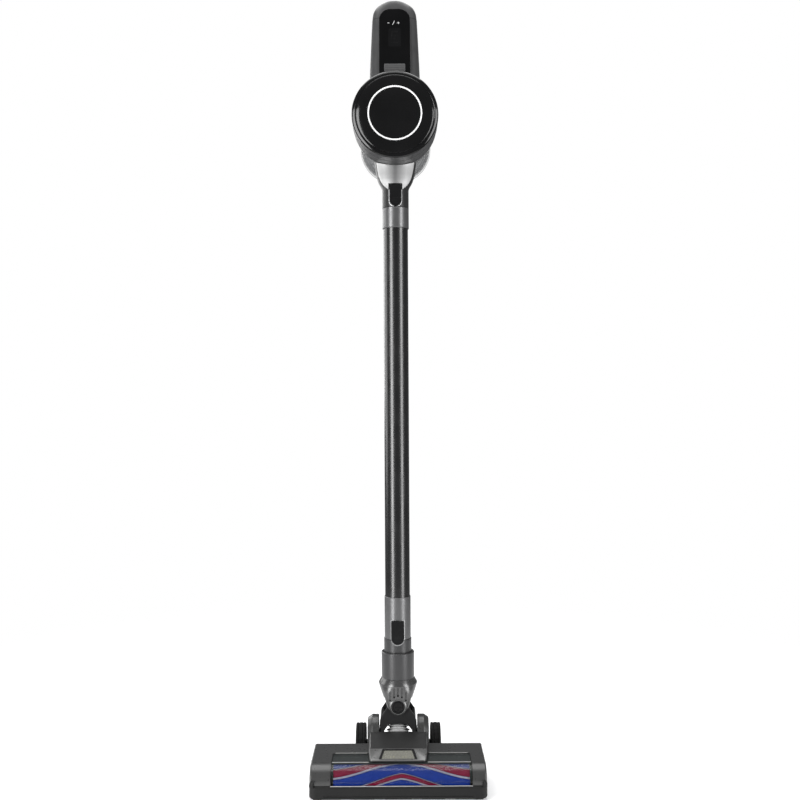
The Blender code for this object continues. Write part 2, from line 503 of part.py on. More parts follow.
bm = bmesh.new()
cols = 14
front, back = [], []
for z, w in cover_edge:
    front.append([bm.verts.new(wrap(z, w, 2.6, i, cols)) for i in range(cols + 1)])
    back.append([bm.verts.new(wrap(z, w, 0.6, i, cols)) for i in range(cols + 1)])
for rows, flip in ((front, False), (back, True)):
    for low, high in zip(rows, rows[1:]):
        for i in range(cols):
            face = (low[i], low[i + 1], high[i + 1], high[i])
            bm.faces.new(face[::-1] if flip else face)
rim_f = front[0] + [r[-1] for r in front[1:]] + front[-1][-2::-1] + [r[0] for r in front[-2:0:-1]]
rim_b = back[0] + [r[-1] for r in back[1:]] + back[-1][-2::-1] + [r[0] for r in back[-2:0:-1]]
for i in range(len(rim_f)):
    j = (i + 1) % len(rim_f)
    bm.faces.new((rim_f[i], rim_b[i], rim_b[j], rim_f[j]))
cover_plate = from_bmesh("neck_cover", bm, SILVER, smooth=True)
combine(cover_plate, rod("cut_plate_saddle", BAND_R + 0.5, "Y", -80, 60, (0, CYCLONE_Z), sides=64, cutter=True))
combine(cover_plate, box("cut_plate_notch", (-9.5, 9.5), (-60, 0), (800, 852.6), cutter=True))

AXIS = (0, 0, CYCLONE_Z)
housing_ring = turned("cyclone_housing",
                      [(SKIRT_R, 20.0), (SKIRT_R, 3.0), (BODY_R, 3.0), (BODY_R, -25.0), (BAND_R, -25.0),
                       (BAND_R, -52.0), (58.4, -52.0), (58.4, -28.0), (24.0, -28.0), (24.0, -25.0),
                       (54.8, -25.0), (54.8, 20.0)], "Y", AXIS, GUNMETAL, 32)
combine(housing_ring, rod("cut_ring_inlet", 11.0, "Z", 870, 905, (0, -9.5), sides=20, cutter=True))

turned("cyclone_core", [(16.0, 96.0), (30.0, 72.0), (30.0, 9.0), (51.4, 9.0), (51.4, 6.0), (30.0, 6.0),
                        (30.0, -21.0), (22.0, -24.5), (19.0, -24.5), (27.0, -18.0), (27.0, 71.0), (13.5, 96.0)],
       "Y", AXIS, DARK, 28)
turned("shroud_mesh", [(37.5, 74.0), (37.5, 10.0), (30.4, 10.0), (30.4, 11.8), (36.2, 11.8), (36.2, 72.2),
                       (30.4, 72.2), (30.4, 74.0)], "Y", AXIS, MESH, 28)

bin_wall = turned("dust_bin", [(BIN_R, BIN_REAR), (BIN_R, BIN_FRONT), (BIN_BORE, BIN_FRONT), (BIN_BORE, BIN_REAR)],
                  "Y", AXIS, CLEAR, 32)
for side in (-1, 1):
    lug = prism("lug%d" % side, [(118.0, 995.6), (133.0, 995.4), (LID_PIN_Y + 2.2, 999.0), (LID_PIN_Y + 3.2, 1003.0),
                                 (LID_PIN_Y, 1006.0), (132.0, 1004.5)], "YZ",
                *sorted((side * 8.5, side * 13.0)), cutter=True)
    combine(bin_wall, lug, "UNION")
combine(bin_wall, rod("cut_lug_pin", 2.3, "X", -20, 20, (LID_PIN_Y, LID_PIN_Z), sides=16, cutter=True))
rod("lid_hinge_pin", 2.0, "X", -12.8, 12.8, (LID_PIN_Y, LID_PIN_Z), STEEL, sides=16)

lid = turned("bin_lid", [(0, 140.0), (54.4, 140.0), (56.0, 138.6), (56.0, 134.4), (0, 134.4)],
             "Y", AXIS, CLEAR, 32, closed=False)
combine(lid, box("cut_lid_lugs_l", (-13.5, -8.1), (120, 150), (990.5, 1010), cutter=True))
combine(lid, box("cut_lid_lugs_r", (8.1, 13.5), (120, 150), (990.5, 1010), cutter=True))
combine(lid, prism("knuckle", [(134.4, 996.0), (140.0, 996.0), (140.6, 1002.5)] +
                   arc(LID_PIN_Y, LID_PIN_Z, 3.4, 20, 180, 6)[0:] + [(134.4, 1001.0)], "YZ", -7.9, 7.9, cutter=True),
        "UNION")
combine(lid, rod("cut_lid_pin", 2.3, "X", -20, 20, (LID_PIN_Y, LID_PIN_Z), sides=16, cutter=True))
turned("bin_lid_seal", [(51.7, 134.1), (51.7, 130.8), (49.2, 130.8), (49.2, 134.1)], "Y", AXIS, RUBBER, 32)
box("bin_latch", (-9.0, 9.0), (116.0, 133.4), (883.2, 888.2), RED, 1.2, 1)

# ---- filter cap ----------------------------------------------------------------------
cap = [(0, -57.8), (36.0, -57.4), (46.0, -56.2), (55.5, -53.6), (57.4, -52.4), (60.0, -52.4), (60.6, -53.6),
       (59.4, -55.4), (55.0, -57.4), (47.5, -59.4), (40.5, -60.4), (36.8, -60.4), (36.4, -59.6), (18.0, -60.4), (0, -60.7)]
turned("filter_cap", cap, "Y", AXIS, PIANO, 32, closed=False)
turned("trim_ring", [(38.4, -60.8), (38.2, -61.7), (37.4, -61.7), (37.1, -60.8)], "Y", AXIS, BRIGHT, 32)
turned("hepa_filter", [(50.0, -31.0), (50.0, -50.0), (25.0, -50.0), (25.0, -31.0)], "Y", AXIS, FILTER, 32)

# ---- motor housing, handle and battery -----------------------------------------------
tongue = [(980.0, 36.8, -36.6, 36.0), (1010.0, 36.3, -31.3, 36.0), (1040.0, 35.2, -25.6, 36.0),
          (1070.0, 33.9, -20.0, 35.6), (1092.0, 32.8, -15.8, 34.6), (1104.0, 31.7, -13.6, 33.0),
          (1110.0, 29.7, -12.6, 31.2), (1115.6, 25.4, -11.4, 28.4), (1119.4, 18.6, -10.0, 24.4),
          (1121.6, 12.4, -8.6, 20.4), (1123.0, 5.4, -5.0, 15.0)]


def tongue_ring(z, w, yf, yr, power=4.5, less=0.0):
    return [(x, y, z) for x, y in squircle(w - less, (yr - yf) / 2 - less, power, 32, 0.0, (yf + yr) / 2)]


body = loft("motor_housing", [tongue_ring(z, w, a, b, 4.5 if z < 1100 else 3.2) for z, w, a, b in tongue], GUNMETAL)
inside = [(970.0, 36.8, -36.6, 36.0)] + [t for t in tongue if t[0] < 1115]
combine(body, loft("cut_body_inside", [tongue_ring(min(z, 1109.0 + (z - 1104) * 0.2 if z > 1104 else z), w, a, b,
                                                   4.5, 3.2) for z, w, a, b in inside[:-1]], cutter=True))
combine(body, rod("cut_body_saddle", BODY_R + 0.4, "Y", -24.7, 80, (0, CYCLONE_Z), sides=64, cutter=True))
combine(body, rod("cut_body_band", BAND_R + 0.4, "Y", -90, -24.6, (0, CYCLONE_Z), sides=64, cutter=True))

LEAN = Matrix.Rotation(-PANEL_LEAN, 4, "X")


def on_panel(name, loops, lo, hi, mat=None, cutter=False):
    """A flat piece on the leaning front of the motor housing: outline (x, up), depth lo to hi outwards."""
    if not isinstance(loops[0], list):
        loops = [loops]
    bm = outline_mesh(loops, hi - lo)
    bmesh.ops.transform(bm, matrix=LEAN @ PLANES["XZ"] @ Matrix.Translation((0, 0, (lo + hi) / 2 * MM)), verts=bm.verts)
    return from_bmesh(name, bm, mat, (0, PANEL_Y, PANEL_Z), cutter=cutter)


def panel_outline(w, low, high, r_low, r_top):
    return (arc(w - r_top, high - r_top, r_top, 0, 90, 6) + arc(-w + r_top, high - r_top, r_top, 90, 180, 6)
            + arc(-w + r_low, low + r_low, r_low, 180, 270, 2) + arc(w - r_low, low + r_low, r_low, 270, 360, 2))


combine(body, on_panel("cut_body_panel", panel_outline(22.3, 3.7, 106.3, 2.3, 16.3), -1.7, 20.0, cutter=True))
on_panel("top_panel", [panel_outline(22.0, 4.0, 106.0, 2.0, 16.0),
                       rounded_rect(-15.6, 15.6, 7.0, 19.4, 1.5, 2)[::-1]], 0.2, 2.4, PANEL)
on_panel("power_button", rounded_rect(-15.2, 15.2, 7.4, 19.0, 1.3, 2), -0.3, 3.0, BUTTON_GREY)
on_panel("control_board", rounded_rect(-16.0, 16.0, 26.0, 54.0, 1.0, 1), -6.4, -5.0, BOARD)

turned("suction_motor", [(0, 1080.0), (9.0, 1080.0), (9.0, 1076.0), (21.5, 1076.0), (21.5, 1023.0), (2.0, 1023.0),
                         (2.0, 1010.0), (0, 1010.0)], "Z", (0, MOTOR_Y, 0), COPPER, 28, closed=False)
blades = []
for i in range(9):                      # nine swept blades round the hub
    a = 360.0 / 9 * i
    blades += arc(0, MOTOR_Y, 11.0, a, a + 14.0, 1) + arc(0, MOTOR_Y, 20.5, a + 22.0, a + 32.0, 1)
prism("impeller", [blades, arc(0, MOTOR_Y, 2.3, 360, 0, 12)[:-1]], "XY", 1009.5, 1019.0, STEEL)

grip_rings = []
for y, w, h, dz in ((36.6, 17.0, 22.0, 0.0), (50.0, 16.4, 20.8, 0.6), (75.0, 16.0, 19.8, 1.0),
                    (100.0, 16.6, 20.8, 0.6), (118.6, 17.2, 22.0, 0.0)):
    grip_rings.append([(x, y, GRIP_Z + dz + z) for x, z in squircle(w, h, 3.0, 24)])
grip = loft("grip", grip_rings, DARK)
combine(grip, prism("cut_grip_inside", squircle(12.6, 16.2, 3.0, 16, 0, GRIP_Z + 0.8), "XZ", 20, 140, cutter=True))
combine(grip, box("cut_grip_trigger", (-7.4, 7.4), (45.5, 66.6), (1040, GRIP_Z), cutter=True))
trigger = [(46.0, 1058.5), (46.0, 1043.0), (49.0, 1040.8), (54.0, 1042.6), (60.0, 1043.2), (66.1, 1045.5), (66.1, 1058.5)]
prism("trigger", trigger, "YZ", -7.0, 7.0, BUTTON)

pack = box("battery_pack", (-26.0, 26.0), (BATTERY_FRONT_Y, BATTERY_REAR_Y), (1012.0, 1100.0), BATTERY, 5.0, 2)
combine(pack, box("cut_pack_release", (-9.4, 9.4), (128.6, 145.4), (1096.4, 1110), cutter=True))
box("battery_release", (-9.0, 9.0), (129.0, 145.0), (1098.4, 1101.8), BUTTON, 1.0, 1)

bpy.context.view_layer.update()
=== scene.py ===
"""Cordless stick vacuum cleaner: the visual model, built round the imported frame.

Every helper takes millimetres measured from the stick's own axis (x = y = 0) and from the
floor (z = 0). The row frame's origin is 19 mm in front of that axis, so y shifts by TUBE_Y.
"""

import math

import bmesh
import bpy
from mathutils import Matrix, Vector


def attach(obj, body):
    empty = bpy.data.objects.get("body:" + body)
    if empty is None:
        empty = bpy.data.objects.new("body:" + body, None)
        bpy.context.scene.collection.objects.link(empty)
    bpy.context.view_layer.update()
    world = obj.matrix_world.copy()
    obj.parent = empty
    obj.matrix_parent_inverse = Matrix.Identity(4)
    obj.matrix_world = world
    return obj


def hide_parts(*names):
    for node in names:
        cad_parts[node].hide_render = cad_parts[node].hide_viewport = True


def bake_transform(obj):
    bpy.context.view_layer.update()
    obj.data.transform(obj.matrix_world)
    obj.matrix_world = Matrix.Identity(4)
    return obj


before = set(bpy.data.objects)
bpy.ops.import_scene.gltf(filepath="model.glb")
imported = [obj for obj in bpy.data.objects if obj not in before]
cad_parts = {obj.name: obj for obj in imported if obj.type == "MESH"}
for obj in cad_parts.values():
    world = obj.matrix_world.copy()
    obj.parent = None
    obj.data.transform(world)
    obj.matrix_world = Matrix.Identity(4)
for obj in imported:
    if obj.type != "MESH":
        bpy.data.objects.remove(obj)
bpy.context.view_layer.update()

MM = 0.001
TUBE_Y = -19.0
scene = bpy.context.scene

# ---- camera ----------------------------------------------------------------------------
cam_data = bpy.data.cameras.new("camera")
cam_data.sensor_width = 36.0
cam_data.lens = 43.13
cam_data.clip_start = 0.01
camera = bpy.data.objects.new("camera", cam_data)
scene.collection.objects.link(camera)
camera.matrix_world = (Matrix.Translation((0.0051, (-1404.0 + TUBE_Y) * MM, 0.5405))
                       @ Matrix.Rotation(math.pi / 2, 4, "X")
                       @ Matrix.Rotation(math.radians(-0.30), 4, "Z"))
scene.camera = camera

# ---- studio ----------------------------------------------------------------------------
scene.view_settings.view_transform = "Standard"
scene.view_settings.look = "None"

world = bpy.data.worlds.new("studio")
scene.world = world
world.use_nodes = True
wn = world.node_tree
for node in list(wn.nodes):
    wn.nodes.remove(node)
w_out = wn.nodes.new("ShaderNodeOutputWorld")
w_mix = wn.nodes.new("ShaderNodeMixShader")
w_path = wn.nodes.new("ShaderNodeLightPath")
w_soft = wn.nodes.new("ShaderNodeBackground")
w_soft.inputs["Color"].default_value = (0.97, 0.985, 1.0, 1.0)
w_soft.inputs["Strength"].default_value = 0.19
w_back = wn.nodes.new("ShaderNodeBackground")
w_back.inputs["Color"].default_value = (1.0, 1.0, 1.0, 1.0)
w_back.inputs["Strength"].default_value = 1.0
wn.links.new(w_path.outputs["Is Camera Ray"], w_mix.inputs["Fac"])
wn.links.new(w_soft.outputs["Background"], w_mix.inputs[1])
wn.links.new(w_back.outputs["Background"], w_mix.inputs[2])
wn.links.new(w_mix.outputs["Shader"], w_out.inputs["Surface"])


def softbox(name, place, target, size_x, size_y, power):
    data = bpy.data.lights.new(name, "AREA")
    data.shape = "RECTANGLE"
    data.size, data.size_y = size_x, size_y
    data.energy = power
    light = bpy.data.objects.new(name, data)
    scene.collection.objects.link(light)
    aim = (Vector(target) - Vector(place)).to_track_quat("-Z", "Y")
    light.matrix_world = Matrix.Translation(Vector(place)) @ aim.to_matrix().to_4x4()
    return light


for turn, name, power in ((-43.0, "strip_left", 58.0), (51.0, "strip_right", 42.0)):
    a = math.radians(turn)
    softbox(name, (math.sin(a) * 2.3, TUBE_Y * MM - math.cos(a) * 2.3, 0.72),
            (0.0, TUBE_Y * MM, 0.72), 0.78, 2.2, power)
softbox("top_soft", (-0.2, 0.25, 2.7), (-0.2, 0.25, 0.0), 2.2, 2.2, 58.0)
softbox("side_key", (-2.2, 0.7, 1.0), (0.0, -0.02, 0.6), 1.2, 1.6, 16.0)
softbox("back_soft", (-1.7, 2.3, 1.2), (0.0, 0.0, 0.6), 1.5, 1.5, 24.0)

# ---- materials -------------------------------------------------------------------------
SOCKETS = {"metal": "Metallic", "ior": "IOR", "spec": "Specular IOR Level", "aniso": "Anisotropic",
           "coat": "Coat Weight", "coat_rough": "Coat Roughness", "sheen": "Sheen Weight",
           "sheen_rough": "Sheen Roughness", "trans": "Transmission Weight", "alpha": "Alpha",
           "sss": "Subsurface Weight"}


def start(name, rgb, rough, **kw):
    m = bpy.data.materials.new(name)
    m.use_nodes = True
    nt = m.node_tree
    p = nt.nodes["Principled BSDF"]
    p.inputs["Base Color"].default_value = (*rgb, 1.0)
    p.inputs["Roughness"].default_value = rough
    for key, value in kw.items():
        p.inputs[SOCKETS[key]].default_value = value
    m.diffuse_color = (*rgb, 1.0)
    return m, nt, p


def coords(nt, scale=None, turn=None, shift=None):
    tc = nt.nodes.new("ShaderNodeTexCoord")
    if scale is None and turn is None and shift is None:
        return tc.outputs["Object"]
    mp = nt.nodes.new("ShaderNodeMapping")
    if scale is not None:
        mp.inputs["Scale"].default_value = scale
    if turn is not None:
        mp.inputs["Rotation"].default_value = turn
    if shift is not None:
        mp.inputs["Location"].default_value = shift
    nt.links.new(tc.outputs["Object"], mp.inputs["Vector"])
    return mp.outputs["Vector"]


def noise(nt, vec, scale, detail=3.0, rough=0.55):
    n = nt.nodes.new("ShaderNodeTexNoise")
    n.inputs["Scale"].default_value = scale
    n.inputs["Detail"].default_value = detail
    n.inputs["Roughness"].default_value = rough
    nt.links.new(vec, n.inputs["Vector"])
    return n.outputs["Fac"]


def spread(nt, src, lo, hi, a=0.3, b=0.7):
    r = nt.nodes.new("ShaderNodeMapRange")
    r.inputs["From Min"].default_value = a
    r.inputs["From Max"].default_value = b
    r.inputs["To Min"].default_value = lo
    r.inputs["To Max"].default_value = hi
    nt.links.new(src, r.inputs["Value"])
    return r.outputs["Result"]


def blend_colour(nt, fac, one, two):
    x = nt.nodes.new("ShaderNodeMix")
    x.data_type = "RGBA"
    nt.links.new(fac, x.inputs[0])
    for slot, value in ((6, one), (7, two)):
        if isinstance(value, tuple):
            x.inputs[slot].default_value = (*value, 1.0)
        else:
            nt.links.new(value, x.inputs[slot])
    return x.outputs[2]


def bumped(nt, p, height, strength, distance, socket="Normal"):
    b = nt.nodes.new("ShaderNodeBump")
    b.inputs["Strength"].default_value = strength
    b.inputs["Distance"].default_value = distance
    nt.links.new(height, b.inputs["Height"])
    nt.links.new(b.outputs["Normal"], p.inputs[socket])


def tone(rgb, k):
    return tuple(min(1.0, c * k) for c in rgb)


def moulded(name, rgb, rough, var=0.12, rough_var=0.05, grain=2300.0, bump=0.16, depth=0.00005,
            mottle=32.0, edge=0.0, stretch=None, **kw):
    """Moulded or painted surface: mottled colour, uneven gloss, fine grain, lighter worn edges."""
    m, nt, p = start(name, rgb, rough, **kw)
    big = noise(nt, coords(nt), mottle, 5.0)
    small = noise(nt, coords(nt, stretch) if stretch else coords(nt), grain, 2.0)
    colour = blend_colour(nt, spread(nt, big, 0.0, 1.0), tone(rgb, 1 - var), tone(rgb, 1 + var))
    if edge:
        g = nt.nodes.new("ShaderNodeNewGeometry")
        worn = spread(nt, g.outputs["Pointiness"], 0.0, edge, 0.51, 0.60)
        colour = blend_colour(nt, worn, colour, tone(rgb, 2.4))
    nt.links.new(colour, p.inputs["Base Color"])
    fine = noise(nt, coords(nt), 210.0, 4.0)
    nt.links.new(spread(nt, fine, rough - rough_var, rough + rough_var), p.inputs["Roughness"])
    bumped(nt, p, small, bump, depth)
    return m


def flaked(name, rgb, rough, flake=0.35, scale=2600.0, **kw):
    """Metallic lacquer: small flakes that catch the light, under a soft gloss."""
    m, nt, p = start(name, rgb, rough, **kw)
    v = nt.nodes.new("ShaderNodeTexVoronoi")
    v.inputs["Scale"].default_value = scale
    nt.links.new(coords(nt), v.inputs["Vector"])
    sep = nt.nodes.new("ShaderNodeSeparateColor")
    nt.links.new(v.outputs["Color"], sep.inputs["Color"])
    colour = blend_colour(nt, spread(nt, sep.outputs[0], 0.0, 1.0, 0.0, 1.0),
                          tone(rgb, 1 - flake), tone(rgb, 1 + flake))
    nt.links.new(colour, p.inputs["Base Color"])
    fine = noise(nt, coords(nt), 60.0, 4.0)
    nt.links.new(spread(nt, fine, rough - 0.03, rough + 0.04), p.inputs["Roughness"])
    bumped(nt, p, sep.outputs[1], 0.02, 0.00002)
    return m


def glossy(name, rgb, rough, scratch=0.05, **kw):
    """Polished lacquer with a little haze and hairline marks from wiping."""
    m, nt, p = start(name, rgb, rough, **kw)
    haze = noise(nt, coords(nt), 22.0, 5.0, 0.6)
    hair = noise(nt, coords(nt, (9.0, 9.0, 260.0), (0.5, 0.3, 0.2)), 8.0, 3.0)
    colour = blend_colour(nt, spread(nt, haze, 0.0, 1.0), tone(rgb, 0.8), tone(rgb, 1.35))
    nt.links.new(colour, p.inputs["Base Color"])
    nt.links.new(spread(nt, haze, max(0.02, rough - 0.03), rough + 0.05), p.inputs["Roughness"])
    bumped(nt, p, hair, scratch, 0.00002)
    return m


def brushed(name, rgb, rough, stretch=(900.0, 900.0, 14.0), strength=0.12, **kw):
    """Metal or metal paint with a drawn grain along one direction."""
    m, nt, p = start(name, rgb, rough, **kw)
    lines = noise(nt, coords(nt, stretch), 1.0, 4.0)
    soft = noise(nt, coords(nt), 30.0, 3.0)
    colour = blend_colour(nt, spread(nt, lines, 0.0, 1.0), tone(rgb, 0.9), tone(rgb, 1.08))
    nt.links.new(colour, p.inputs["Base Color"])
    nt.links.new(spread(nt, soft, rough - 0.04, rough + 0.05), p.inputs["Roughness"])
    bumped(nt, p, lines, strength, 0.00003)
    return m


def clear(name, rgb, rough, low, high, tint_var=0.12, **kw):
    """Clear moulding: nearly see-through face on, denser and glossier towards its edges."""
    m, nt, p = start(name, rgb, rough, **kw)
    lw = nt.nodes.new("ShaderNodeLayerWeight")
    lw.inputs["Blend"].default_value = 0.35
    nt.links.new(spread(nt, lw.outputs["Facing"], low, high, 0.0, 1.0), p.inputs["Alpha"])
    swirl = noise(nt, coords(nt), 14.0, 3.0)
    colour = blend_colour(nt, spread(nt, swirl, 0.0, 1.0), tone(rgb, 1 - tint_var), tone(rgb, 1 + tint_var))
    nt.links.new(colour, p.inputs["Base Color"])
    nt.links.new(spread(nt, noise(nt, coords(nt), 90.0, 4.0), rough, rough + 0.06), p.inputs["Roughness"])
    bumped(nt, p, swirl, 0.02, 0.00004)
    return m


def pile(name, rgb, rough=0.75, **kw):
    """Short dense brush pile: streaks of fibre across the roller and a soft sheen."""
    m, nt, p = start(name, rgb, rough, sheen=0.03, sheen_rough=0.4, **kw)
    fibre = noise(nt, coords(nt, (1500.0, 260.0, 260.0)), 1.0, 4.0, 0.7)
    clump = noise(nt, coords(nt), 190.0, 3.0)
    mixed = blend_colour(nt, spread(nt, fibre, 0.0, 1.0), tone(rgb, 0.55), tone(rgb, 1.35))
    colour = blend_colour(nt, spread(nt, clump, 0.0, 0.45), mixed, tone(rgb, 0.6))
    nt.links.new(colour, p.inputs["Base Color"])
    bumped(nt, p, fibre, 0.10, 0.0003)
    return m


def cover_painted_reflection(name, dark, light, rough, inner, outer, **kw):
    """Brushed metal whose colour turns lighter from the middle of the plate out to its sides: a painted reflection of
    the light its sides catch.
    """
    m, nt, p = start(name, light, rough, **kw)
    sep = nt.nodes.new("ShaderNodeSeparateXYZ")
    nt.links.new(coords(nt), sep.inputs["Vector"])
    away = nt.nodes.new("ShaderNodeMath")
    away.operation = "ABSOLUTE"
    nt.links.new(sep.outputs["X"], away.inputs[0])
    side = spread(nt, away.outputs["Value"], 0.0, 1.0, inner, outer)
    # painted reflection: the colour lightens from the middle of the plate out to its sides
    colour = blend_colour(nt, side, dark, light)
    lines = noise(nt, coords(nt, (900.0, 900.0, 16.0)), 1.0, 4.0)
    nt.links.new(blend_colour(nt, spread(nt, lines, 0.0, 0.10), colour, (0.0, 0.0, 0.0)), p.inputs["Base Color"])
    nt.links.new(spread(nt, noise(nt, coords(nt), 30.0, 3.0), rough - 0.03, rough + 0.04), p.inputs["Roughness"])
    bumped(nt, p, lines, 0.05, 0.00003)
    return m


GUN = moulded("gunmetal", (0.056, 0.056, 0.057), 0.37, metal=0.15, spec=0.35, edge=0.35, bump=0.06)
GUN_LIGHT = moulded("gunmetal_light", (0.085, 0.085, 0.0845), 0.24, var=0.03, metal=0.6, spec=0.8, edge=0.2, bump=0.015)
# Light grey of the housing's front fascia: a painted sheen of the sloping face.
FASCIA_SHEEN = moulded("fascia_painted_sheen", (0.135, 0.135, 0.133), 0.30, var=0.05, metal=0.5, spec=0.5, edge=0.3, bump=0.04)
GRAPH = moulded("graphite", (0.032, 0.032, 0.0317), 0.31, var=0.08, metal=0.1, spec=0.6, edge=0.4, bump=0.05)
GRAPH_DARK = moulded("graphite_dark", (0.027, 0.027, 0.027), 0.36, metal=0.1, spec=0.32, edge=0.3, bump=0.06)
DARK = moulded("dark_plastic", (0.011, 0.011, 0.0114), 0.42, spec=0.16, edge=0.3, bump=0.12)
BLACK_SATIN = moulded("black_satin", (0.009, 0.009, 0.0095), 0.32, spec=0.22, edge=0.25, bump=0.08)
PIANO = glossy("piano_black", (0.0040, 0.0040, 0.0042), 0.10, 0.010, spec=0.36)
SCREW_BLACK = glossy("screw_black", (0.0045, 0.0045, 0.0048), 0.16, 0.02, spec=0.15)
PANEL = glossy("display_black", (0.0028, 0.0028, 0.0030), 0.10, 0.02, spec=0.24)
DISPLAY = glossy("display_window", (0.0046, 0.0046, 0.0050), 0.12, 0.02, spec=0.3)
BUTTON = moulded("button_black", (0.0070, 0.0070, 0.0074), 0.34, spec=0.14, bump=0.1, edge=0.2)
BUTTON_GREY = brushed("button_grey", (0.085, 0.085, 0.086), 0.40, (14.0, 700.0, 700.0), metal=0.3)
SILVER = brushed("silver", (0.52, 0.52, 0.525), 0.36, metal=0.7)
BRIGHT = brushed("bright_ring", (0.93, 0.93, 0.935), 0.34, (300.0, 300.0, 300.0), 0.02, metal=0.1)
# Light grey rings round the release buttons: a painted highlight of the pockets' edges.
BUTTON_RING_HIGHLIGHT = brushed("button_ring_painted_highlight", (0.30, 0.30, 0.303), 0.38, metal=0.6)
# The silver cover carries a painted reflection: dark in its middle, light at its sides.
COVER = cover_painted_reflection("silver_cover_painted_reflection", (0.22, 0.22, 0.222), (0.62, 0.62, 0.62), 0.50, 0.001, 0.016, metal=0.2)
CHROME = glossy("chrome_trim", (0.72, 0.72, 0.73), 0.12, metal=1.0)
# Light grey metal: a painted highlight on the window's lip and crease, and the real level lines on the dust bin.
TRIM_AND_HIGHLIGHT = brushed("trim_and_painted_highlight", (0.36, 0.36, 0.35), 0.32, (20.0, 500.0, 500.0), metal=0.6)
COLLAR = flaked("collar_metallic", (0.135, 0.135, 0.137), 0.34, flake=0.14, metal=0.6)
NECK = flaked("neck_metallic", (0.052, 0.052, 0.053), 0.33, flake=0.08, metal=0.45)
TUBE = brushed("tube_black", (0.0050, 0.0050, 0.0053), 0.26, (260.0, 260.0, 5.0), 0.003, metal=0.1, spec=0.85)
RUBBER = moulded("rubber", (0.0085, 0.0085, 0.0085), 0.50, spec=0.22, grain=1500.0, bump=0.25, depth=0.00012, rough_var=0.08)
TYRE = moulded("tyre_rubber", (0.010, 0.010, 0.010), 0.72, spec=0.15, grain=1100.0, bump=0.4, depth=0.0002, rough_var=0.08)
CLEAR = clear("smoked_clear", (0.19, 0.193, 0.196), 0.06, 0.10, 0.92, coat=0.4, spec=0.5)
PANE = clear("window_clear", (0.035, 0.04, 0.04), 0.05, 0.10, 0.75, coat=0.5)
# Dark green-grey: painted shade of the interior under the flat part of the window, and the window's end frames.
WINDOW_SHADE_AND_FRAME = glossy("window_shade_and_frame", (0.020, 0.026, 0.023), 0.22, spec=0.4)
LENS = moulded("lens_frost", (0.25, 0.247, 0.215), 0.24, var=0.05, grain=900.0, bump=0.04, mottle=120.0, coat=0.3,
               alpha=0.62)
LED = moulded("led_phosphor", (0.75, 0.66, 0.22), 0.45, var=0.2, mottle=400.0)
BOARD = moulded("circuit_board", (0.012, 0.075, 0.035), 0.42, var=0.35, mottle=260.0)
STEEL = brushed("steel", (0.52, 0.52, 0.53), 0.28, (300.0, 300.0, 300.0), metal=1.0)
MOTOR = brushed("motor_can", (0.34, 0.34, 0.35), 0.34, (20.0, 500.0, 500.0), metal=0.9)
HOSE = moulded("hose_grey", (0.42, 0.42, 0.418), 0.34, var=0.08, bump=0.1, edge=0.2)
FILTER = moulded("filter_white", (0.72, 0.71, 0.67), 0.85, var=0.1, grain=900.0, bump=0.5, depth=0.0003)
BATTERY = moulded("battery_case", (0.036, 0.036, 0.038), 0.46, edge=0.35, grain=1500.0, bump=0.45, depth=0.00016)
RED = moulded("latch_red", (0.42, 0.03, 0.03), 0.38, edge=0.15)
MARK = moulded("mark_white", (0.85, 0.85, 0.85), 0.5, var=0.05)
PILE_BLUE = pile("pile_blue", (0.012, 0.045, 0.34), spec=0.05)
PILE_RED = pile("pile_crimson", (0.26, 0.011, 0.050), spec=0.05)
PILE_WHITE = pile("pile_white", (0.42, 0.42, 0.54), spec=0.05)
MESH_STEEL = brushed("mesh_steel", (0.36, 0.36, 0.36), 0.38, (250.0, 250.0, 250.0), metal=0.9)

# ---- mesh helpers ----------------------------------------------------------------------
PLANE = {"YZ": lambda u, v, w: (w, u, v), "XZ": lambda u, v, w: (u, w, v), "XY": lambda u, v, w: (u, v, w)}


def arc(cx, cy, r, a, b, n):
    return [(cx + r * math.cos(math.radians(a + (b - a) * i / n)),
             cy + r * math.sin(math.radians(a + (b - a) * i / n))) for i in range(n + 1)]


def squircle(w, d, power, n=64, cx=0.0, cy=0.0):
    out = []
    for i in range(n):
        a = 2 * math.pi * (i + 0.5) / n
        c, s = math.cos(a), math.sin(a)
        out.append((cx + w * math.copysign(abs(c) ** (2 / power), c),
                    cy + d * math.copysign(abs(s) ** (2 / power), s)))
    return out


def rounded_rect(x0, x1, y0, y1, r, n=6):
    return (arc(x1 - r, y1 - r, r, 0, 90, n) + arc(x0 + r, y1 - r, r, 90, 180, n)
            + arc(x0 + r, y0 + r, r, 180, 270, n) + arc(x1 - r, y0 + r, r, 270, 360, n))


def clean(loop, tol=1e-4):
    out = []
    for p in loop:
        if not out or math.dist(p, out[-1]) > tol:
            out.append(tuple(p))
    if math.dist(out[0], out[-1]) <= tol:
        out.pop()
    return out


def inset(loop, d):
    n = len(loop)
    out = []
    for i in range(n):
        p, q, r = Vector(loop[i - 1]), Vector(loop[i]), Vector(loop[(i + 1) % n])
        e1, e2 = (q - p).normalized(), (r - q).normalized()
        n1, n2 = Vector((-e1.y, e1.x)), Vector((-e2.y, e2.x))
        m = n1 + n2
        if m.length < 1e-6:
            m, k = n1, 1.0
        else:
            m.normalize()
            k = 1.0 / max(0.35, m.dot(n1))
        out.append(tuple(q + m * d * k))
    return out


def ccw(loop):
    area = sum(a[0] * b[1] - b[0] * a[1] for a, b in zip(loop, loop[1:] + loop[:1]))
    return loop if area > 0 else loop[::-1]


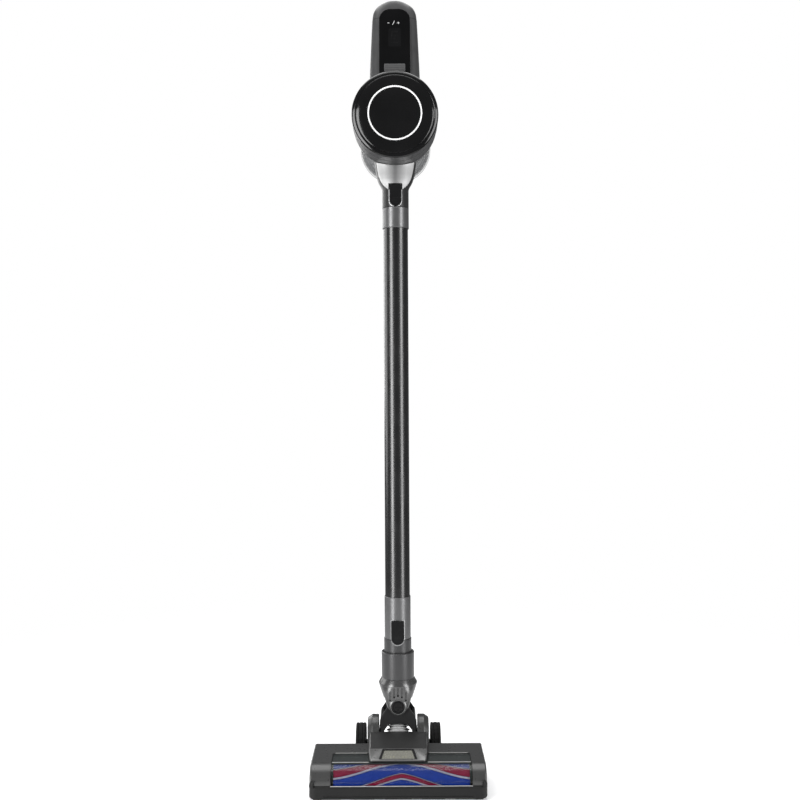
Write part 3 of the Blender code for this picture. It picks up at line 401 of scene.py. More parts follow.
def stack(rings, caps=(True, True), loop=False):
    """A skin through rings of points that all have the same count."""
    bm = bmesh.new()
    rows = [[bm.verts.new(p) for p in ring] for ring in rings]
    n = len(rings[0])
    pairs = list(zip(rows, rows[1:])) + ([(rows[-1], rows[0])] if loop else [])
    for a, b in pairs:
        for i in range(n):
            j = (i + 1) % n
            bm.faces.new((a[i], a[j], b[j], b[i]))
    if not loop:
        if caps[0]:
            bm.faces.new(rows[0])
        if caps[1]:
            bm.faces.new(rows[-1])
    return bm


def prism(loop, plane, lo, hi):
    loop = ccw(clean(loop))
    return stack([[PLANE[plane](u, v, w) for u, v in loop] for w in (lo, hi)])


def pad(loop, plane, lo, hi, r0=0.6, r1=None, n=3):
    """An outline carried from lo to hi with its two rims rounded."""
    r1 = r0 if r1 is None else r1
    loop = ccw(clean(loop))
    rings = []
    for i in range(n + 1) if r0 else (n,):
        a = math.pi / 2 * i / n
        rings.append((inset(loop, r0 * (1 - math.sin(a))), lo + r0 * (1 - math.cos(a))))
    for i in range(n + 1) if r1 else (0,):
        a = math.pi / 2 * (1 - i / n)
        rings.append((inset(loop, r1 * (1 - math.sin(a))), hi - r1 * (1 - math.cos(a))))
    return stack([[PLANE[plane](u, v, w) for u, v in ring] for ring, w in rings])


def block(x, y, z, r=0.6, corner=None, n=3):
    """A block with rounded rims; its standing corners get their own radius."""
    c = corner if corner is not None else max(r, 0.3)
    return pad(rounded_rect(x[0], x[1], y[0], y[1], c, 4), "XY", z[0], z[1], r, r, n)


def rounded(profile, r=0.4, closed=True, n=3):
    """The profile with each corner turned into a small arc."""
    out = []
    count = len(profile)
    for i, point in enumerate(profile):
        q = Vector(point)
        if not closed and i in (0, count - 1):
            out.append(tuple(q))
            continue
        p, s = Vector(profile[i - 1]), Vector(profile[(i + 1) % count])
        a, b = p - q, s - q
        if a.length < 1e-6 or b.length < 1e-6:
            continue
        turn = math.pi - a.angle(b)
        if turn < math.radians(12):
            out.append(tuple(q))
            continue
        d = min(r * math.tan(turn / 2), 0.42 * a.length, 0.42 * b.length)
        start_p, end_p = q + a.normalized() * d, q + b.normalized() * d
        for k in range(n + 1):
            t = k / n
            out.append(tuple((1 - t) ** 2 * start_p + 2 * t * (1 - t) * q + t * t * end_p))
    return out


AXES = {"X": lambda r, t, h: (h, r * math.cos(t), r * math.sin(t)),
        "Y": lambda r, t, h: (r * math.cos(t), h, r * math.sin(t)),
        "Z": lambda r, t, h: (r * math.cos(t), r * math.sin(t), h)}


def lathe(profile, axis, at=(0, 0, 0), steps=96, closed=True, r=0.4, n=3, wobble=None):
    """A profile of (radius, place along the axis) turned about the axis."""
    pts = rounded(profile, r, closed, n) if r else list(profile)
    bm = bmesh.new()
    rows = []
    for rad, h in pts:
        if rad < 1e-5:
            p = AXES[axis](0.0, 0.0, h)
            rows.append([bm.verts.new(Vector(p) + Vector(at))])
        else:
            row = []
            for i in range(steps):
                t = 2 * math.pi * i / steps
                rr = rad + (wobble(rad, h, t) if wobble else 0.0)
                row.append(bm.verts.new(Vector(AXES[axis](rr, t, h)) + Vector(at)))
            rows.append(row)
    pairs = list(zip(rows, rows[1:])) + ([(rows[-1], rows[0])] if closed else [])
    for a, b in pairs:
        for i in range(steps):
            j = (i + 1) % steps
            if len(a) == 1 and len(b) == 1:
                break
            if len(a) == 1:
                bm.faces.new((a[0], b[j], b[i]))
            elif len(b) == 1:
                bm.faces.new((a[i], a[j], b[0]))
            else:
                bm.faces.new((a[i], a[j], b[j], b[i]))
    return bm


def rod(radius, axis, lo, hi, at=(0, 0, 0), r=0.0, steps=48):
    return lathe([(0, hi), (radius, hi), (radius, lo), (0, lo)], axis, at, steps, closed=False, r=r)


def temp(bm):
    bmesh.ops.recalc_face_normals(bm, faces=bm.faces)
    me = bpy.data.meshes.new("temp")
    bm.to_mesh(me)
    bm.free()
    ob = bpy.data.objects.new("temp", me)
    scene.collection.objects.link(ob)
    return ob


def boolean(bm, *steps):
    """bm with each (operation, other) applied: "cut", "add" or "keep"."""
    words = {"cut": "DIFFERENCE", "add": "UNION", "keep": "INTERSECT"}
    ob = temp(bm)
    others = []
    for how, other in steps:
        t = temp(other)
        others.append(t)
        mod = ob.modifiers.new(how, "BOOLEAN")
        mod.operation = words[how]
        mod.solver = "EXACT"
        mod.object = t
    graph = bpy.context.evaluated_depsgraph_get()
    me = bpy.data.meshes.new_from_object(ob.evaluated_get(graph), depsgraph=graph)
    out = bmesh.new()
    out.from_mesh(me)
    for o in others + [ob]:
        data = o.data
        bpy.data.objects.remove(o, do_unlink=True)
        bpy.data.meshes.remove(data)
    bpy.data.meshes.remove(me)
    bmesh.ops.remove_doubles(out, verts=out.verts, dist=0.002)
    bmesh.ops.dissolve_degenerate(out, dist=0.002, edges=out.edges)
    return out


def join(*bms):
    """Several closed bodies in one mesh."""
    out = bmesh.new()
    for bm in bms:
        me = bpy.data.meshes.new("join")
        bmesh.ops.recalc_face_normals(bm, faces=bm.faces)
        bm.to_mesh(me)
        bm.free()
        out.from_mesh(me)
        bpy.data.meshes.remove(me)
    return out


def piece(name, bm, mats, body, hides=(), bevel=0.0, segs=2, angle=38.0, limit=35.0, ride=True,
          weighted=True):
    """The finished object: named, placed, shaded and riding on its body."""
    mats = mats if isinstance(mats, (list, tuple)) else [mats]
    bmesh.ops.recalc_face_normals(bm, faces=bm.faces)
    for v in bm.verts:
        v.co = Vector((v.co.x, v.co.y + TUBE_Y, v.co.z)) * MM
    me = bpy.data.meshes.new(name)
    bm.to_mesh(me)
    bm.free()
    for m in mats:
        me.materials.append(m)
    ob = bpy.data.objects.new(name, me)
    scene.collection.objects.link(ob)
    me.shade_smooth()
    if bevel:
        b = ob.modifiers.new("Bevel", "BEVEL")
        b.width = bevel * MM
        b.segments = segs
        b.limit_method = "ANGLE"
        b.angle_limit = math.radians(limit)
        b.use_clamp_overlap = True
    else:
        me.set_sharp_from_angle(angle=math.radians(angle))
    if weighted:
        w = ob.modifiers.new("Normals", "WEIGHTED_NORMAL")
        w.keep_sharp = True
        w.weight = 60
    if ride:
        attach(ob, body)
    if hides:
        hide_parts(*([hides] if isinstance(hides, str) else hides))
    return ob


def remake(node, mat):
    """A carried-over CAD node with a better surface."""
    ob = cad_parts[node]
    if not ob.material_slots:
        ob.data.materials.append(mat)
    for s in ob.material_slots:
        s.link = "OBJECT"
        s.material = mat


# ---- floor head ------------------------------------------------------------------------
NOSE = (-90.0, 22.0)


def head_profile(less, foot, tail):
    r = 23.3 - less
    return [(tail, foot), (tail, 43.9 - less)] + arc(tail - 1.4, 43.9 - less, 1.4, 0, 90, 4)[1:] + arc(*NOSE, r, 90, 180, 28)


outer = head_profile(0.0, 5.0, -20.0) + [(-113.3, 20.8), (-99.8, 20.8), (-99.8, 5.0)]
inner = head_profile(2.4, 0.0, -22.4) + [(-110.9, 0.0)]
window_cut = [(-91.5, -135.0), (100.5, -135.0), (100.5, -61.6)] + arc(97.5, -61.6, 3.0, 0, 90, 5) + arc(-88.5, -61.6, 3.0, 90, 180, 5)
cover = boolean(pad(outer, "YZ", -120.0, 120.0, 2.6, 2.6, 4),
                ("cut", prism(inner, "YZ", -117.5, 117.5)),
                ("cut", prism(window_cut, "XY", -5.0, 60.0)))
piece("head_cover_shell", cover, GRAPH, "floor_head", "head_cover", bevel=0.7)

# A raised lip round the window opening, and a ridge where the pane turns down, both coloured light grey: a painted
# highlight of the edges that catch the light there.
lip_highlight = []
for x0, x1 in ((-88.0, -43.2), (43.2, 97.0)):
    lip_highlight.append(block((x0, x1), (-59.5, -58.5), (44.5, 45.75), 0.25, 0.3))
piece("window_lip_highlight", join(*lip_highlight), TRIM_AND_HIGHLIGHT, "floor_head")
crease_highlight = [pad(rounded_rect(-91.9, -90.5, 43.9, 44.95, 0.45, 3), "YZ", x0, x1, 0.3) for x0, x1 in ((-90.9, -40.6), (40.6, 99.9))]
piece("window_crease_highlight", join(*crease_highlight), TRIM_AND_HIGHLIGHT, "floor_head")
# A dark sheet under the flat part of the pane: painted shade standing in for the dark interior seen through it. The
# dark strips under the pane's curved ends are the window's end frames.
shade_and_frames = [block((-90.8, 99.8), (-90.3, -59.6), (41.75, 42.3), 0.15, 0.5)]
for x0, x1 in ((-90.8, -88.4), (97.4, 99.8)):
    shade_and_frames.append(prism([(-60.0, 41.7)] + arc(*NOSE, 20.0, 90, 168, 16) + arc(*NOSE, 19.4, 168, 90, 16) + [(-60.0, 41.2)], "YZ", x0, x1))
piece("window_shade_and_frame_plate", join(*shade_and_frames), WINDOW_SHADE_AND_FRAME, "floor_head")

pane = [(-59.1, 44.2)] + arc(*NOSE, 22.2, 90, 176, 30) + arc(*NOSE, 20.4, 176, 90, 30) + [(-59.1, 42.4)]
piece("brush_window_pane", pad(pane, "YZ", -91.1, 100.1, 0.35), PANE, "floor_head", "brush_window")
foot_trim = pad(rounded_rect(-115.3, -113.9, 20.45, 21.25, 0.35, 4), "YZ", -91.5, 100.5, 0.3)
piece("window_foot_trim", foot_trim, SILVER, "floor_head")

# ---- bumper with swollen corners ----
bump_out = rounded_rect(-120.6, 120.6, -117.0, -60.0, 10.0, 10)
bumper = boolean(pad(bump_out, "XY", 3.4, 20.4, 2.2, 2.6, 4),
                 ("cut", prism(rounded_rect(-117.6, 117.6, -113.9, -50.0, 0.3, 2), "XY", -5.0, 30.0)),
                 ("cut", prism([(-130, -100.2), (130, -100.2), (130, -50), (-130, -50)], "XY", -5.0, 30.0)),
                 ("cut", pad(rounded_rect(-101.0, 101.0, -121.0, -116.35, 0.3, 2), "XY", 7.4, 8.6, 0.1)),
                 *[("cut", prism(rounded_rect(x - 7.0, x + 7.0, -119.0, -112.0, 2.0, 3), "XY", 2.0, 4.4)) for x in (-70.0, -25.0, 25.0, 70.0)])
piece("bumper_strip", bumper, RUBBER, "floor_head", "front_bumper", bevel=0.35)
guards = []
for s in (-1, 1):
    rings = []
    for z, grow, back in ((19.0, 0.0, -101.5), (22.0, 0.0, -102.5), (25.0, -0.5, -105.0), (27.2, -1.6, -108.5), (28.2, -3.6, -111.0)):
        x1, x0, y0 = 120.4 + grow, 113.6 - grow * 0.6, -116.6 - grow * 0.9
        ring = arc(x1 - 5.4, y0 + 5.4, 5.4, -90, 0, 6) + [(x1, back), (x0 + 3.0, back), (x0, back - 2.0), (x0, y0 + 1.2), (x0 + 0.9, y0)]
        rings.append([(s * x, y, z) for x, y in ring])
    guards.append(stack(rings))
piece("bumper_corner_guards", join(*guards), RUBBER, "floor_head", bevel=0.6)

# ---- underside ----
mouth = boolean(block((-95.1, 104.1), (-109.0, -68.0), (2.9, 4.1), 0.3, 3.0),
                ("cut", prism(rounded_rect(-92.3, 101.3, -106.2, -70.8, 2.0, 4), "XY", 0.0, 8.0)))
piece("brush_mouth_frame", mouth, GRAPH_DARK, "floor_head", bevel=0.2)
squeegee = [block((-98.0, 98.0), (-66.8, -65.4), (1.6, 4.4), 0.4, 0.5)]
squeegee += [block((x - 0.7, x + 0.7), (-62.0, -26.0), (3.3, 4.3), 0.3, 0.5) for x in (-90.0, -60.0, 60.0, 90.0)]
squeegee += [block((-110.0, 110.0), (-27.0, -25.6), (3.3, 4.3), 0.3, 0.5)]
piece("underside_squeegee", join(*squeegee), RUBBER, "floor_head")
wheels = []
for s, name in ((-1, "glide_pad_left"), (1, "glide_pad_right")):
    x0, x1 = sorted((s * 103.0, s * 116.0))
    piece(name + "_felt", block((x0, x1), (-109.0, -96.0), (0.0, 3.7), 0.9, 2.4), TYRE, "floor_head", name)
remake("head_base", GRAPH_DARK)
for n in ("base_screw_left", "base_screw_right", "hinge_pin_left", "hinge_pin_right"):
    remake(n, STEEL)
remake("brush_motor", MOTOR)
remake("drive_belt", RUBBER)
remake("motor_pulley", STEEL)
remake("light_board", BOARD)
for n in ("brush_bearing_left", "brush_bearing_right", "brush_pulley"):
    remake(n, DARK)

# ---- brush roller ----
ROLL = (0.0, -89.5, 22.5)
core = [(0, 107.5), (4.0, 107.5), (4.0, 101.0), (18.2, 101.0), (18.2, 97.7), (14.8, 97.7),
        (14.8, -88.7), (18.2, -88.7), (18.2, -92.0), (4.0, -92.0), (4.0, -107.0), (0, -107.0)]
piece("roller_core", lathe(core, "X", ROLL, 64, closed=False, r=0.5), DARK, "brush_roller", "brush_core")


def drop(x):
    """How far round, in degrees, a helical row has turned at x: a chevron with a soft apex."""
    return 80.0 * math.sin(math.pi / 2 * min(1.0, abs(x - 5.0) / 105.0)) ** 1.4


def helix(bands, radius, rise=1.0, across=8):
    """Rows of pile or bristle that follow the chevron; bands are (start, end) in degrees."""
    parts = []
    for a0, a1 in bands:
        rings = []
        for k in range(125):
            x = -88.1 + 185.2 * k / 124
            ring = []
            for i in range(across + 1):
                t = i / across
                edge = min(t, 1 - t) * across
                crown = radius - rise * max(0.0, 1 - edge) ** 2
                frill = 0.05 * math.sin(x * 2.1 + i * 2.4 + a0) + 0.03 * math.sin(x * 5.3 + i * 1.1)
                ang = math.radians(a0 + (a1 - a0) * t - drop(x))
                rad = crown + frill - 0.22
                ring.append((x, ROLL[1] - rad * math.cos(ang), ROLL[2] + rad * math.sin(ang)))
            for i in (across, 0):
                ang = math.radians((a1 if i else a0) - drop(x))
                ring.append((x, ROLL[1] - 14.9 * math.cos(ang), ROLL[2] + 14.9 * math.sin(ang)))
            rings.append(ring)
        parts.append(stack(rings))
    return join(*parts)


blue, red, white = [], [], []
for o in (0.0, 180.0):
    white += [(13.8 + o, 19.6 + o), (37.4 + o, 39.4 + o), (92.0 + o, 99.6 + o), (135.4 + o, 137.0 + o)]
    red += [(20.0 + o, 37.0 + o), (100.0 + o, 135.0 + o)]
    blue += [(39.8 + o, 91.6 + o), (137.4 + o, 193.4 + o)]
piece("roller_blue_pile", helix(blue, 18.9, 1.2, 12), PILE_BLUE, "brush_roller", "brush_fibres", angle=60)
piece("roller_crimson_pile", helix(red, 18.8, 1.2, 8), PILE_RED, "brush_roller", angle=60)
piece("roller_white_bristle", helix(white, 18.95, 0.3, 3), PILE_WHITE, "brush_roller", angle=60)

# ---- central housing -------------------------------------------------------------------


def ring_x(y, half, top, low, r, slant):
    """Cross-section of the housing at y, with rounded upper corners."""
    pts = [(-half, low)]
    pts += [(-(half - slant) + r - r * math.cos(math.radians(a)), top - r + r * math.sin(math.radians(a))) for a in range(0, 91, 15)]
    pts += [((half - slant) - r + r * math.cos(math.radians(a)), top - r + r * math.sin(math.radians(a))) for a in range(90, -1, -15)]
    pts += [(half, low)]
    return [(x, y, z) for x, z in pts]


HOUSE = [(-91.0, 36.6, 45.7), (-90.6, 37.4, 46.3), (-89.5, 38.3, 46.8), (-86.0, 39.2, 47.5), (-66.0, 41.2, 52.9), (-64.3, 41.4, 53.3),
         (-62.8, 41.6, 53.75), (-44.0, 42.3, 57.35), (-26.0, 42.5, 60.85), (-22.5, 42.5, 61.5), (-20.2, 42.5, 61.75), (-19.3, 42.5, 61.2)]
house = stack([ring_x(y, h, t, 44.9, min(2.2, max(0.35, (t - 44.9) * 0.35)), 1.6) for y, h, t in HOUSE])
lens_hole = [(-19.9, -67.2), (19.9, -67.2), (24.2, -87.3), (-24.2, -87.3)]
house = boolean(house, ("cut", prism(rounded(lens_hole, 1.6, True, 4), "XY", 40.0, 60.0)))
piece("housing_top_shell", house, GRAPH_DARK, "floor_head", "central_housing", bevel=0.45)


def face_z(y):
    return 45.6 + (y + 91.0) * 7.8 / 27.0


# The fascia on the sloping front face, with the lens opening through it: a raised panel whose light grey is a painted
# sheen of the face catching the light.
def slab(outline, below, above, flare=0.0):
    loop = ccw(clean(outline))
    rings = []
    for d, off in ((0.0, -below), (0.0, above - 0.35), (0.15, above - 0.12), (0.45, above)):
        ring = inset(loop, d)
        rings.append([(x, y, face_z(y) + off) for x, y in ring])
    return stack(rings)


fascia = [(-40.6, -65.2), (40.6, -65.2), (38.4, -87.6), (36.9, -90.2), (-36.9, -90.2), (-38.4, -87.6)]
fascia_bm = boolean(slab(rounded(fascia, 2.0, True, 4), 0.5, 0.85),
                    ("cut", prism(rounded([(-21.9, -65.8), (21.9, -65.8), (26.9, -89.0), (-26.9, -89.0)], 1.6, True, 4), "XY", 40.0, 60.0)))
piece("housing_fascia", fascia_bm, FASCIA_SHEEN, "floor_head", angle=50, weighted=False)
surround = boolean(slab(rounded([(-22.2, -65.5), (22.2, -65.5), (27.2, -89.2), (-27.2, -89.2)], 1.6, True, 4), 0.9, 0.5),
                   ("cut", prism(rounded([(-19.6, -68.0), (19.6, -68.0), (23.5, -86.8), (-23.5, -86.8)], 1.4, True, 4), "XY", 40.0, 60.0)))
piece("lens_surround", surround, BLACK_SATIN, "floor_head", bevel=0.15)
lens_rings = []
for d, dz in ((0.0, -1.4), (0.0, -0.2), (0.2, 0.0), (0.6, 0.12), (1.0, 0.2)):
    loop = inset(ccw(clean(rounded([(-19.4, -68.2), (19.4, -68.2), (23.3, -86.6), (-23.3, -86.6)], 1.2, True, 4))), d)
    lens_rings.append([(x, y, max(45.75, face_z(y) + dz - 0.1)) for x, y in loop])
piece("lens_window", stack(lens_rings), LENS, "floor_head", "light_lens", angle=50)
leds = []
for x in (-8.5, 8.5):
    for k in (-1, 1):
        leds.append(block((x + k * 1.9 - 1.3, x + k * 1.9 + 1.3), (-79.2, -72.8), (45.75, 46.4), 0.15, 0.3))
piece("led_chips", join(*leds), LED, "floor_head")
remake("light_board", BOARD)

PITCH = 58.0


def ear_outline(lobe, boss, rear):
    foot = min(19.4, lobe - 0.6)
    pts = [(-foot, 14.0)] + arc(34.0, 28.0, boss, -100, 40, 16)
    pts += arc(0.0, PITCH, lobe, rear, 180, 26)
    return pts + [(-lobe, 46.2), (-foot, 46.2)]


ears = []
for s in (-1, 1):
    rings = []
    for x, lobe, boss in ((28.0, 21.6, 11.6), (28.7, 22.2, 12.0), (37.0, 22.2, 12.0), (37.9, 21.9, 11.9), (43.6, 18.2, 9.3), (44.4, 17.2, 8.7)):
        rings.append([(s * x, y, z) for y, z in ear_outline(lobe, boss, 5.0)])
    ears.append(stack(rings))
swing = lambda: rod(22.6, "X", -27.4, 27.4, (0, 0, PITCH), steps=96)
left_ear, right_ear = ears
left_ear = boolean(left_ear, ("cut", rod(6.3, "X", -60, 60, (0, 0, PITCH))), ("cut", swing()))
right_ear = boolean(right_ear, ("cut", rod(6.3, "X", -60, 60, (0, 0, PITCH))), ("cut", swing()))
piece("housing_ear_left", left_ear, GRAPH, "floor_head", bevel=0.5)
piece("housing_ear_right", right_ear, GRAPH, "floor_head", bevel=0.5)
bridge = boolean(block((-34.0, 34.0), (-19.4, 8.0), (14.0, 26.0), 1.2, 1.5), ("cut", swing()))
piece("housing_bridge", bridge, GRAPH_DARK, "floor_head")
caps = []
for s in (-1, 1):
    disc = lathe([(0, 44.9), (5.6, 44.9), (6.2, 44.3), (6.2, 43.0), (0, 43.0)] if s > 0 else
                 [(0, -43.0), (6.2, -43.0), (6.2, -44.3), (5.6, -44.9), (0, -44.9)], "X", (0, 0, PITCH), 48, closed=False, r=0.2)
    caps.append(boolean(disc, ("cut", block(sorted((s * 44.3, s * 46.0)), (-4.0, 4.0), (57.4, 58.6), 0.0, 0.2))))
    axle = lathe([(0, 64.0), (3.4, 64.0), (4.1, 63.5), (4.1, 42.0), (0, 42.0)] if s > 0 else
                 [(0, -42.0), (4.1, -42.0), (4.1, -63.5), (3.4, -64.0), (0, -64.0)], "X", (0, 34.0, 28.0), 40, closed=False, r=0.25)
    caps.append(axle)
piece("hinge_and_axle_caps", join(*caps), DARK, "floor_head")

# ---- rear wheels: ribbed tread and a dished spoked hub ----
for s, name in ((-1, "rear_wheel_left"), (1, "rear_wheel_right")):
    mid = s * 55.5
    prof = [(26.2, 7.5), (27.4, 6.9), (27.9, 5.4), (27.9, 3.9), (27.2, 3.4), (27.2, 2.6), (27.9, 2.1), (27.9, -2.1), (27.2, -2.6), (27.2, -3.4),
            (27.9, -3.9), (27.9, -5.4), (27.4, -6.9), (26.2, -7.5), (22.8, -7.5), (22.0, -6.4), (22.0, 6.4), (22.8, 7.5)]
    tread = lathe(prof, "X", (mid, 34.0, 28.0), 96, r=0.25,
                  wobble=lambda r, h, t: -0.35 if (r > 27.0 and int(t / (2 * math.pi) * 48 + 0.5) % 2) else 0.0)
    piece(name + "_tyre", tread, TYRE, name, name)
    hub = lathe([(21.8, 6.0), (21.8, -6.0), (20.4, -6.6), (19.0, -5.0), (8.4, -4.4), (7.2, -6.8), (4.3, -7.2), (4.3, 7.2), (7.2, 6.8),
                 (8.4, 4.4), (19.0, 5.0), (20.4, 6.6)], "X", (mid, 34.0, 28.0), 72, r=0.4)
    cuts = []
    for k in range(6):
        a = math.radians(60 * k + 30)
        cuts.append(("cut", rod(3.4, "X", mid - 12, mid + 12, (0, 34.0 + 13.6 * math.cos(a), 28.0 + 13.6 * math.sin(a)), steps=28)))
    piece(name + "_hub", boolean(hub, *cuts), GRAPH_DARK, name, bevel=0.3)

# ---- neck: yoke --------------------------------------------------------------------------
ROLLZ = 99.0
yoke_out = [(-25.5, 60.0), (25.5, 60.0), (25.5, 80.6), (24.6, 83.6)] + arc(0, ROLLZ, 13.0, 8, 172, 28) + [(-24.6, 83.6), (-25.5, 80.6)]


def arch_line(grow):
    """The yoke's front opening: a flat-topped arch, widened by grow."""
    half = [(20.6, 62.0), (18.9, 65.0), (16.8, 67.9), (14.7, 70.3), (12.4, 71.9), (9.5, 72.6)]
    half = [(x + grow * min(1.0, 0.35 + x / 26.0), z + grow * min(1.0, (z - 60.0) / 9.0)) for x, z in half]
    return half + [(-x, z) for x, z in reversed(half)]


arch = [(-20.6, 40.0), (20.6, 40.0)] + arch_line(0.0)
yoke = boolean(pad(yoke_out, "XZ", -20.0, 20.0, 1.1, 1.1, 3),
               ("cut", block((-20.6, 20.6), (-17.3, 17.3), (40.0, 84.5), 0.0, 0.3)),
               ("cut", block((-40.0, 40.0), (-17.3, 17.3), (84.4, 130.0), 0.0, 0.3)),
               ("cut", prism(arch, "XZ", -30.0, 30.0)),
               ("add", lathe([(0, 26.8), (14.5, 26.8), (14.5, 20.6), (0, 20.6)], "X", (0, 0, PITCH), 64, closed=False, r=0.8)),
               ("add", lathe([(0, -20.6), (14.5, -20.6), (14.5, -26.8), (0, -26.8)], "X", (0, 0, PITCH), 64, closed=False, r=0.8)),
               ("cut", rod(6.3, "X", -60.0, 60.0, (0, 0, PITCH))),
               ("cut", rod(5.3, "Y", -60.0, 60.0, (0, 0, ROLLZ))))
piece("neck_yoke", yoke, DARK, "lower_neck", "lower_neck", bevel=0.45)
rim = [pad(arch_line(1.3) + arch_line(0.05)[::-1], "XZ", -20.5, -19.4, 0.25)]
piece("yoke_arch_rim", join(*rim), BLACK_SATIN, "lower_neck")
remake("swivel_pin", STEEL)

# ---- neck: funnel on the roll axis --------------------------------------------------------
funnel_rows = [(136.2, 23.7, 23.7), (135.4, 24.3, 24.3), (132.0, 26.2, 26.2), (129.6, 27.7, 27.6), (128.2, 28.1, 28.0), (127.4, 28.0, 27.9)]
funnel_rows += [(z, 28.6 - (128.4 - z) * 0.3816, 28.0 - (128.4 - z) * 0.09) for z in (126.0, 122.0, 118.0, 114.0, 110.0, 106.0, 102.0, 98.0, 94.0)]
funnel = stack([[(x, y, z) for x, y in squircle(a, b, 2.0 + max(0.0, (127.0 - z) / 9.5), 96)] for z, a, b in funnel_rows])
plate_out = arc(0, ROLLZ, 12.5, 205, 335, 24) + [(16.9, 98.0), (28.6, 128.4), (28.6, 140.0), (-28.6, 140.0), (-28.6, 128.4), (-16.9, 98.0)]
slots = []
for x, z0, z1 in ((-5.6, 111.5, 126.5), (0.0, 113.5, 127.0), (5.6, 111.5, 126.5), (-11.4, 107.0, 121.5), (11.4, 107.0, 121.5)):
    slots.append(("cut", pad(rounded_rect(x - 1.35, x + 1.35, z0, z1, 1.3, 5), "XZ", -40.0, -22.4, 0.0, 0.0)))
    slots.append(("cut", pad(rounded_rect(x - 1.35, x + 1.35, z0, z1, 1.3, 5), "XZ", 22.4, 40.0, 0.0, 0.0)))
funnel = boolean(funnel, ("keep", prism(plate_out, "XZ", -40.0, 40.0)),
                 ("add", lathe([(0, -21.0), (12.5, -21.0), (12.5, -25.6), (10.6, -26.6), (9.7, -26.6), (9.3, -25.2), (0, -25.2)], "Y", (0, 0, ROLLZ), 64, closed=False, r=0.3)),
                 ("add", lathe([(0, 25.4), (11.0, 25.4), (12.3, 24.4), (12.5, 21.0), (0, 21.0)], "Y", (0, 0, ROLLZ), 64, closed=False, r=0.3)),
                 ("cut", block((-40.0, 40.0), (-20.5, 20.5), (70.0, 110.5), 0.0, 0.3)),
                 ("cut", block((-18.8, 18.8), (-20.4, 20.4), (108.0, 128.0), 0.0, 2.0)),
                 ("cut", rod(20.3, "Z", 100.0, 150.0, steps=72)),
                 ("cut", rod(5.3, "Y", -25.3, 0.0, (0, 0, ROLLZ))),
                 ("add", rod(5.0, "Y", 17.6, 22.0, (0, 0, ROLLZ))),
                 *slots)
piece("neck_funnel", funnel, GUN_LIGHT, "upper_neck", "upper_neck", bevel=0.3)
cap_screw = boolean(lathe([(0, -25.3), (8.9, -25.3), (8.9, -26.9), (8.3, -27.5), (7.2, -27.6), (6.6, -26.7), (0, -26.5)], "Y", (0, 0, ROLLZ), 64, closed=False, r=0.25),
                    ("cut", pad(rounded_rect(-4.6, 4.6, ROLLZ - 0.8, ROLLZ + 0.8, 0.3, 2), "XZ", -30.0, -25.9, 0.0)),
                    ("cut", pad(rounded_rect(-0.8, 0.8, ROLLZ - 4.6, ROLLZ + 4.6, 0.3, 2), "XZ", -30.0, -25.9, 0.0)))
piece("swivel_screw_cap", cap_screw, SCREW_BLACK, "upper_neck", "swivel_cap", bevel=0.12)

piece("neck_sleeve_turned", lathe([(22.9, 173.7), (23.85, 172.9), (23.85, 136.3), (20.3, 136.3), (20.3, 173.7)],
                                  "Z", steps=112, r=0.5), NECK, "upper_neck", "neck_sleeve")
socket = boolean(lathe([(20.0, 192.9), (20.0, 128.3), (16.3, 128.3), (16.3, 192.9)], "Z", steps=112, r=0.35),
                 ("cut", prism([(-9.9, 230.0), (9.9, 230.0)] + arc(0, 196.3, 9.9, 0, -180, 24), "XZ", -30.0, -12.0)))
piece("neck_socket_turned", socket, NECK, "upper_neck", "neck_socket", bevel=0.25)
ridge = [lathe([(20.35, 175.6), (20.35, 174.2), (19.6, 174.2), (19.6, 175.6)], "Z", steps=96, r=0.2)]
piece("neck_seam_rings", join(*ridge), GRAPH_DARK, "upper_neck")

# ---- ribbed hoses ---------------------------------------------------------------------


def hose(points, pitch, high, low, sides=56):
    """A corrugated hose along a line in the plane x = 0, with rounded ribs."""
    pts = [Vector(p) for p in points]
    lengths = [0.0]
    for a, b in zip(pts, pts[1:]):
        lengths.append(lengths[-1] + (b - a).length)
    total = lengths[-1]
    rings = []
    n = int(total / 0.42)
    for k in range(n + 1):
        s = total * k / n
        i = max(0, min(len(pts) - 2, next((q for q in range(len(lengths) - 1) if lengths[q + 1] >= s), len(pts) - 2)))
        t = (s - lengths[i]) / (lengths[i + 1] - lengths[i])
        p = pts[i].lerp(pts[i + 1], t)
        a = pts[max(0, i - 1)]
        b = pts[min(len(pts) - 1, i + 2)]
        tangent = (b - a).normalized()
        side = Vector((1, 0, 0))
        up = side.cross(tangent).normalized()
        r = low + (high - low) * (0.5 - 0.5 * math.cos(2 * math.pi * s / pitch)) ** 1.7
        rings.append([tuple(p + side * r * math.cos(2 * math.pi * q / sides) + up * r * math.sin(2 * math.pi * q / sides)) for q in range(sides)])
    return stack(rings)


lower_line = [(0, -19.4, 42.2), (0, -14.6, 45.8), (0, -10.2, 50.0), (0, -6.2, 55.1), (0, -3.2, 60.2), (0, -1.2, 65.2),
              (0, -0.3, 70.2), (0, 0, 75.2), (0, 0, 80.2), (0, 0, 84.2), (0, 0, 88.3)]
low_bm = hose(lower_line, 5.2, 14.9, 11.6)
for v in low_bm.verts:                   # flat where it meets the back of the housing
    v.co.y = max(v.co.y, -18.9 + 0.002 * v.co.z)
    wide = max(0.0, min(1.0, (66.0 - v.co.z) / 10.0))
    v.co.x *= 1.0 + 0.19 * wide * wide * (3.0 - 2.0 * wide)      # oval where it leaves the housing
low_hose = piece("neck_hose_bend", low_bm, HOSE, "", ride=False, angle=70)
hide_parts("neck_hose_lower")
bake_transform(low_hose)
upper_line = [(0, 0, 88.5 + 2.0 * k) for k in range(20)] + [(0, 0, 127.8)]
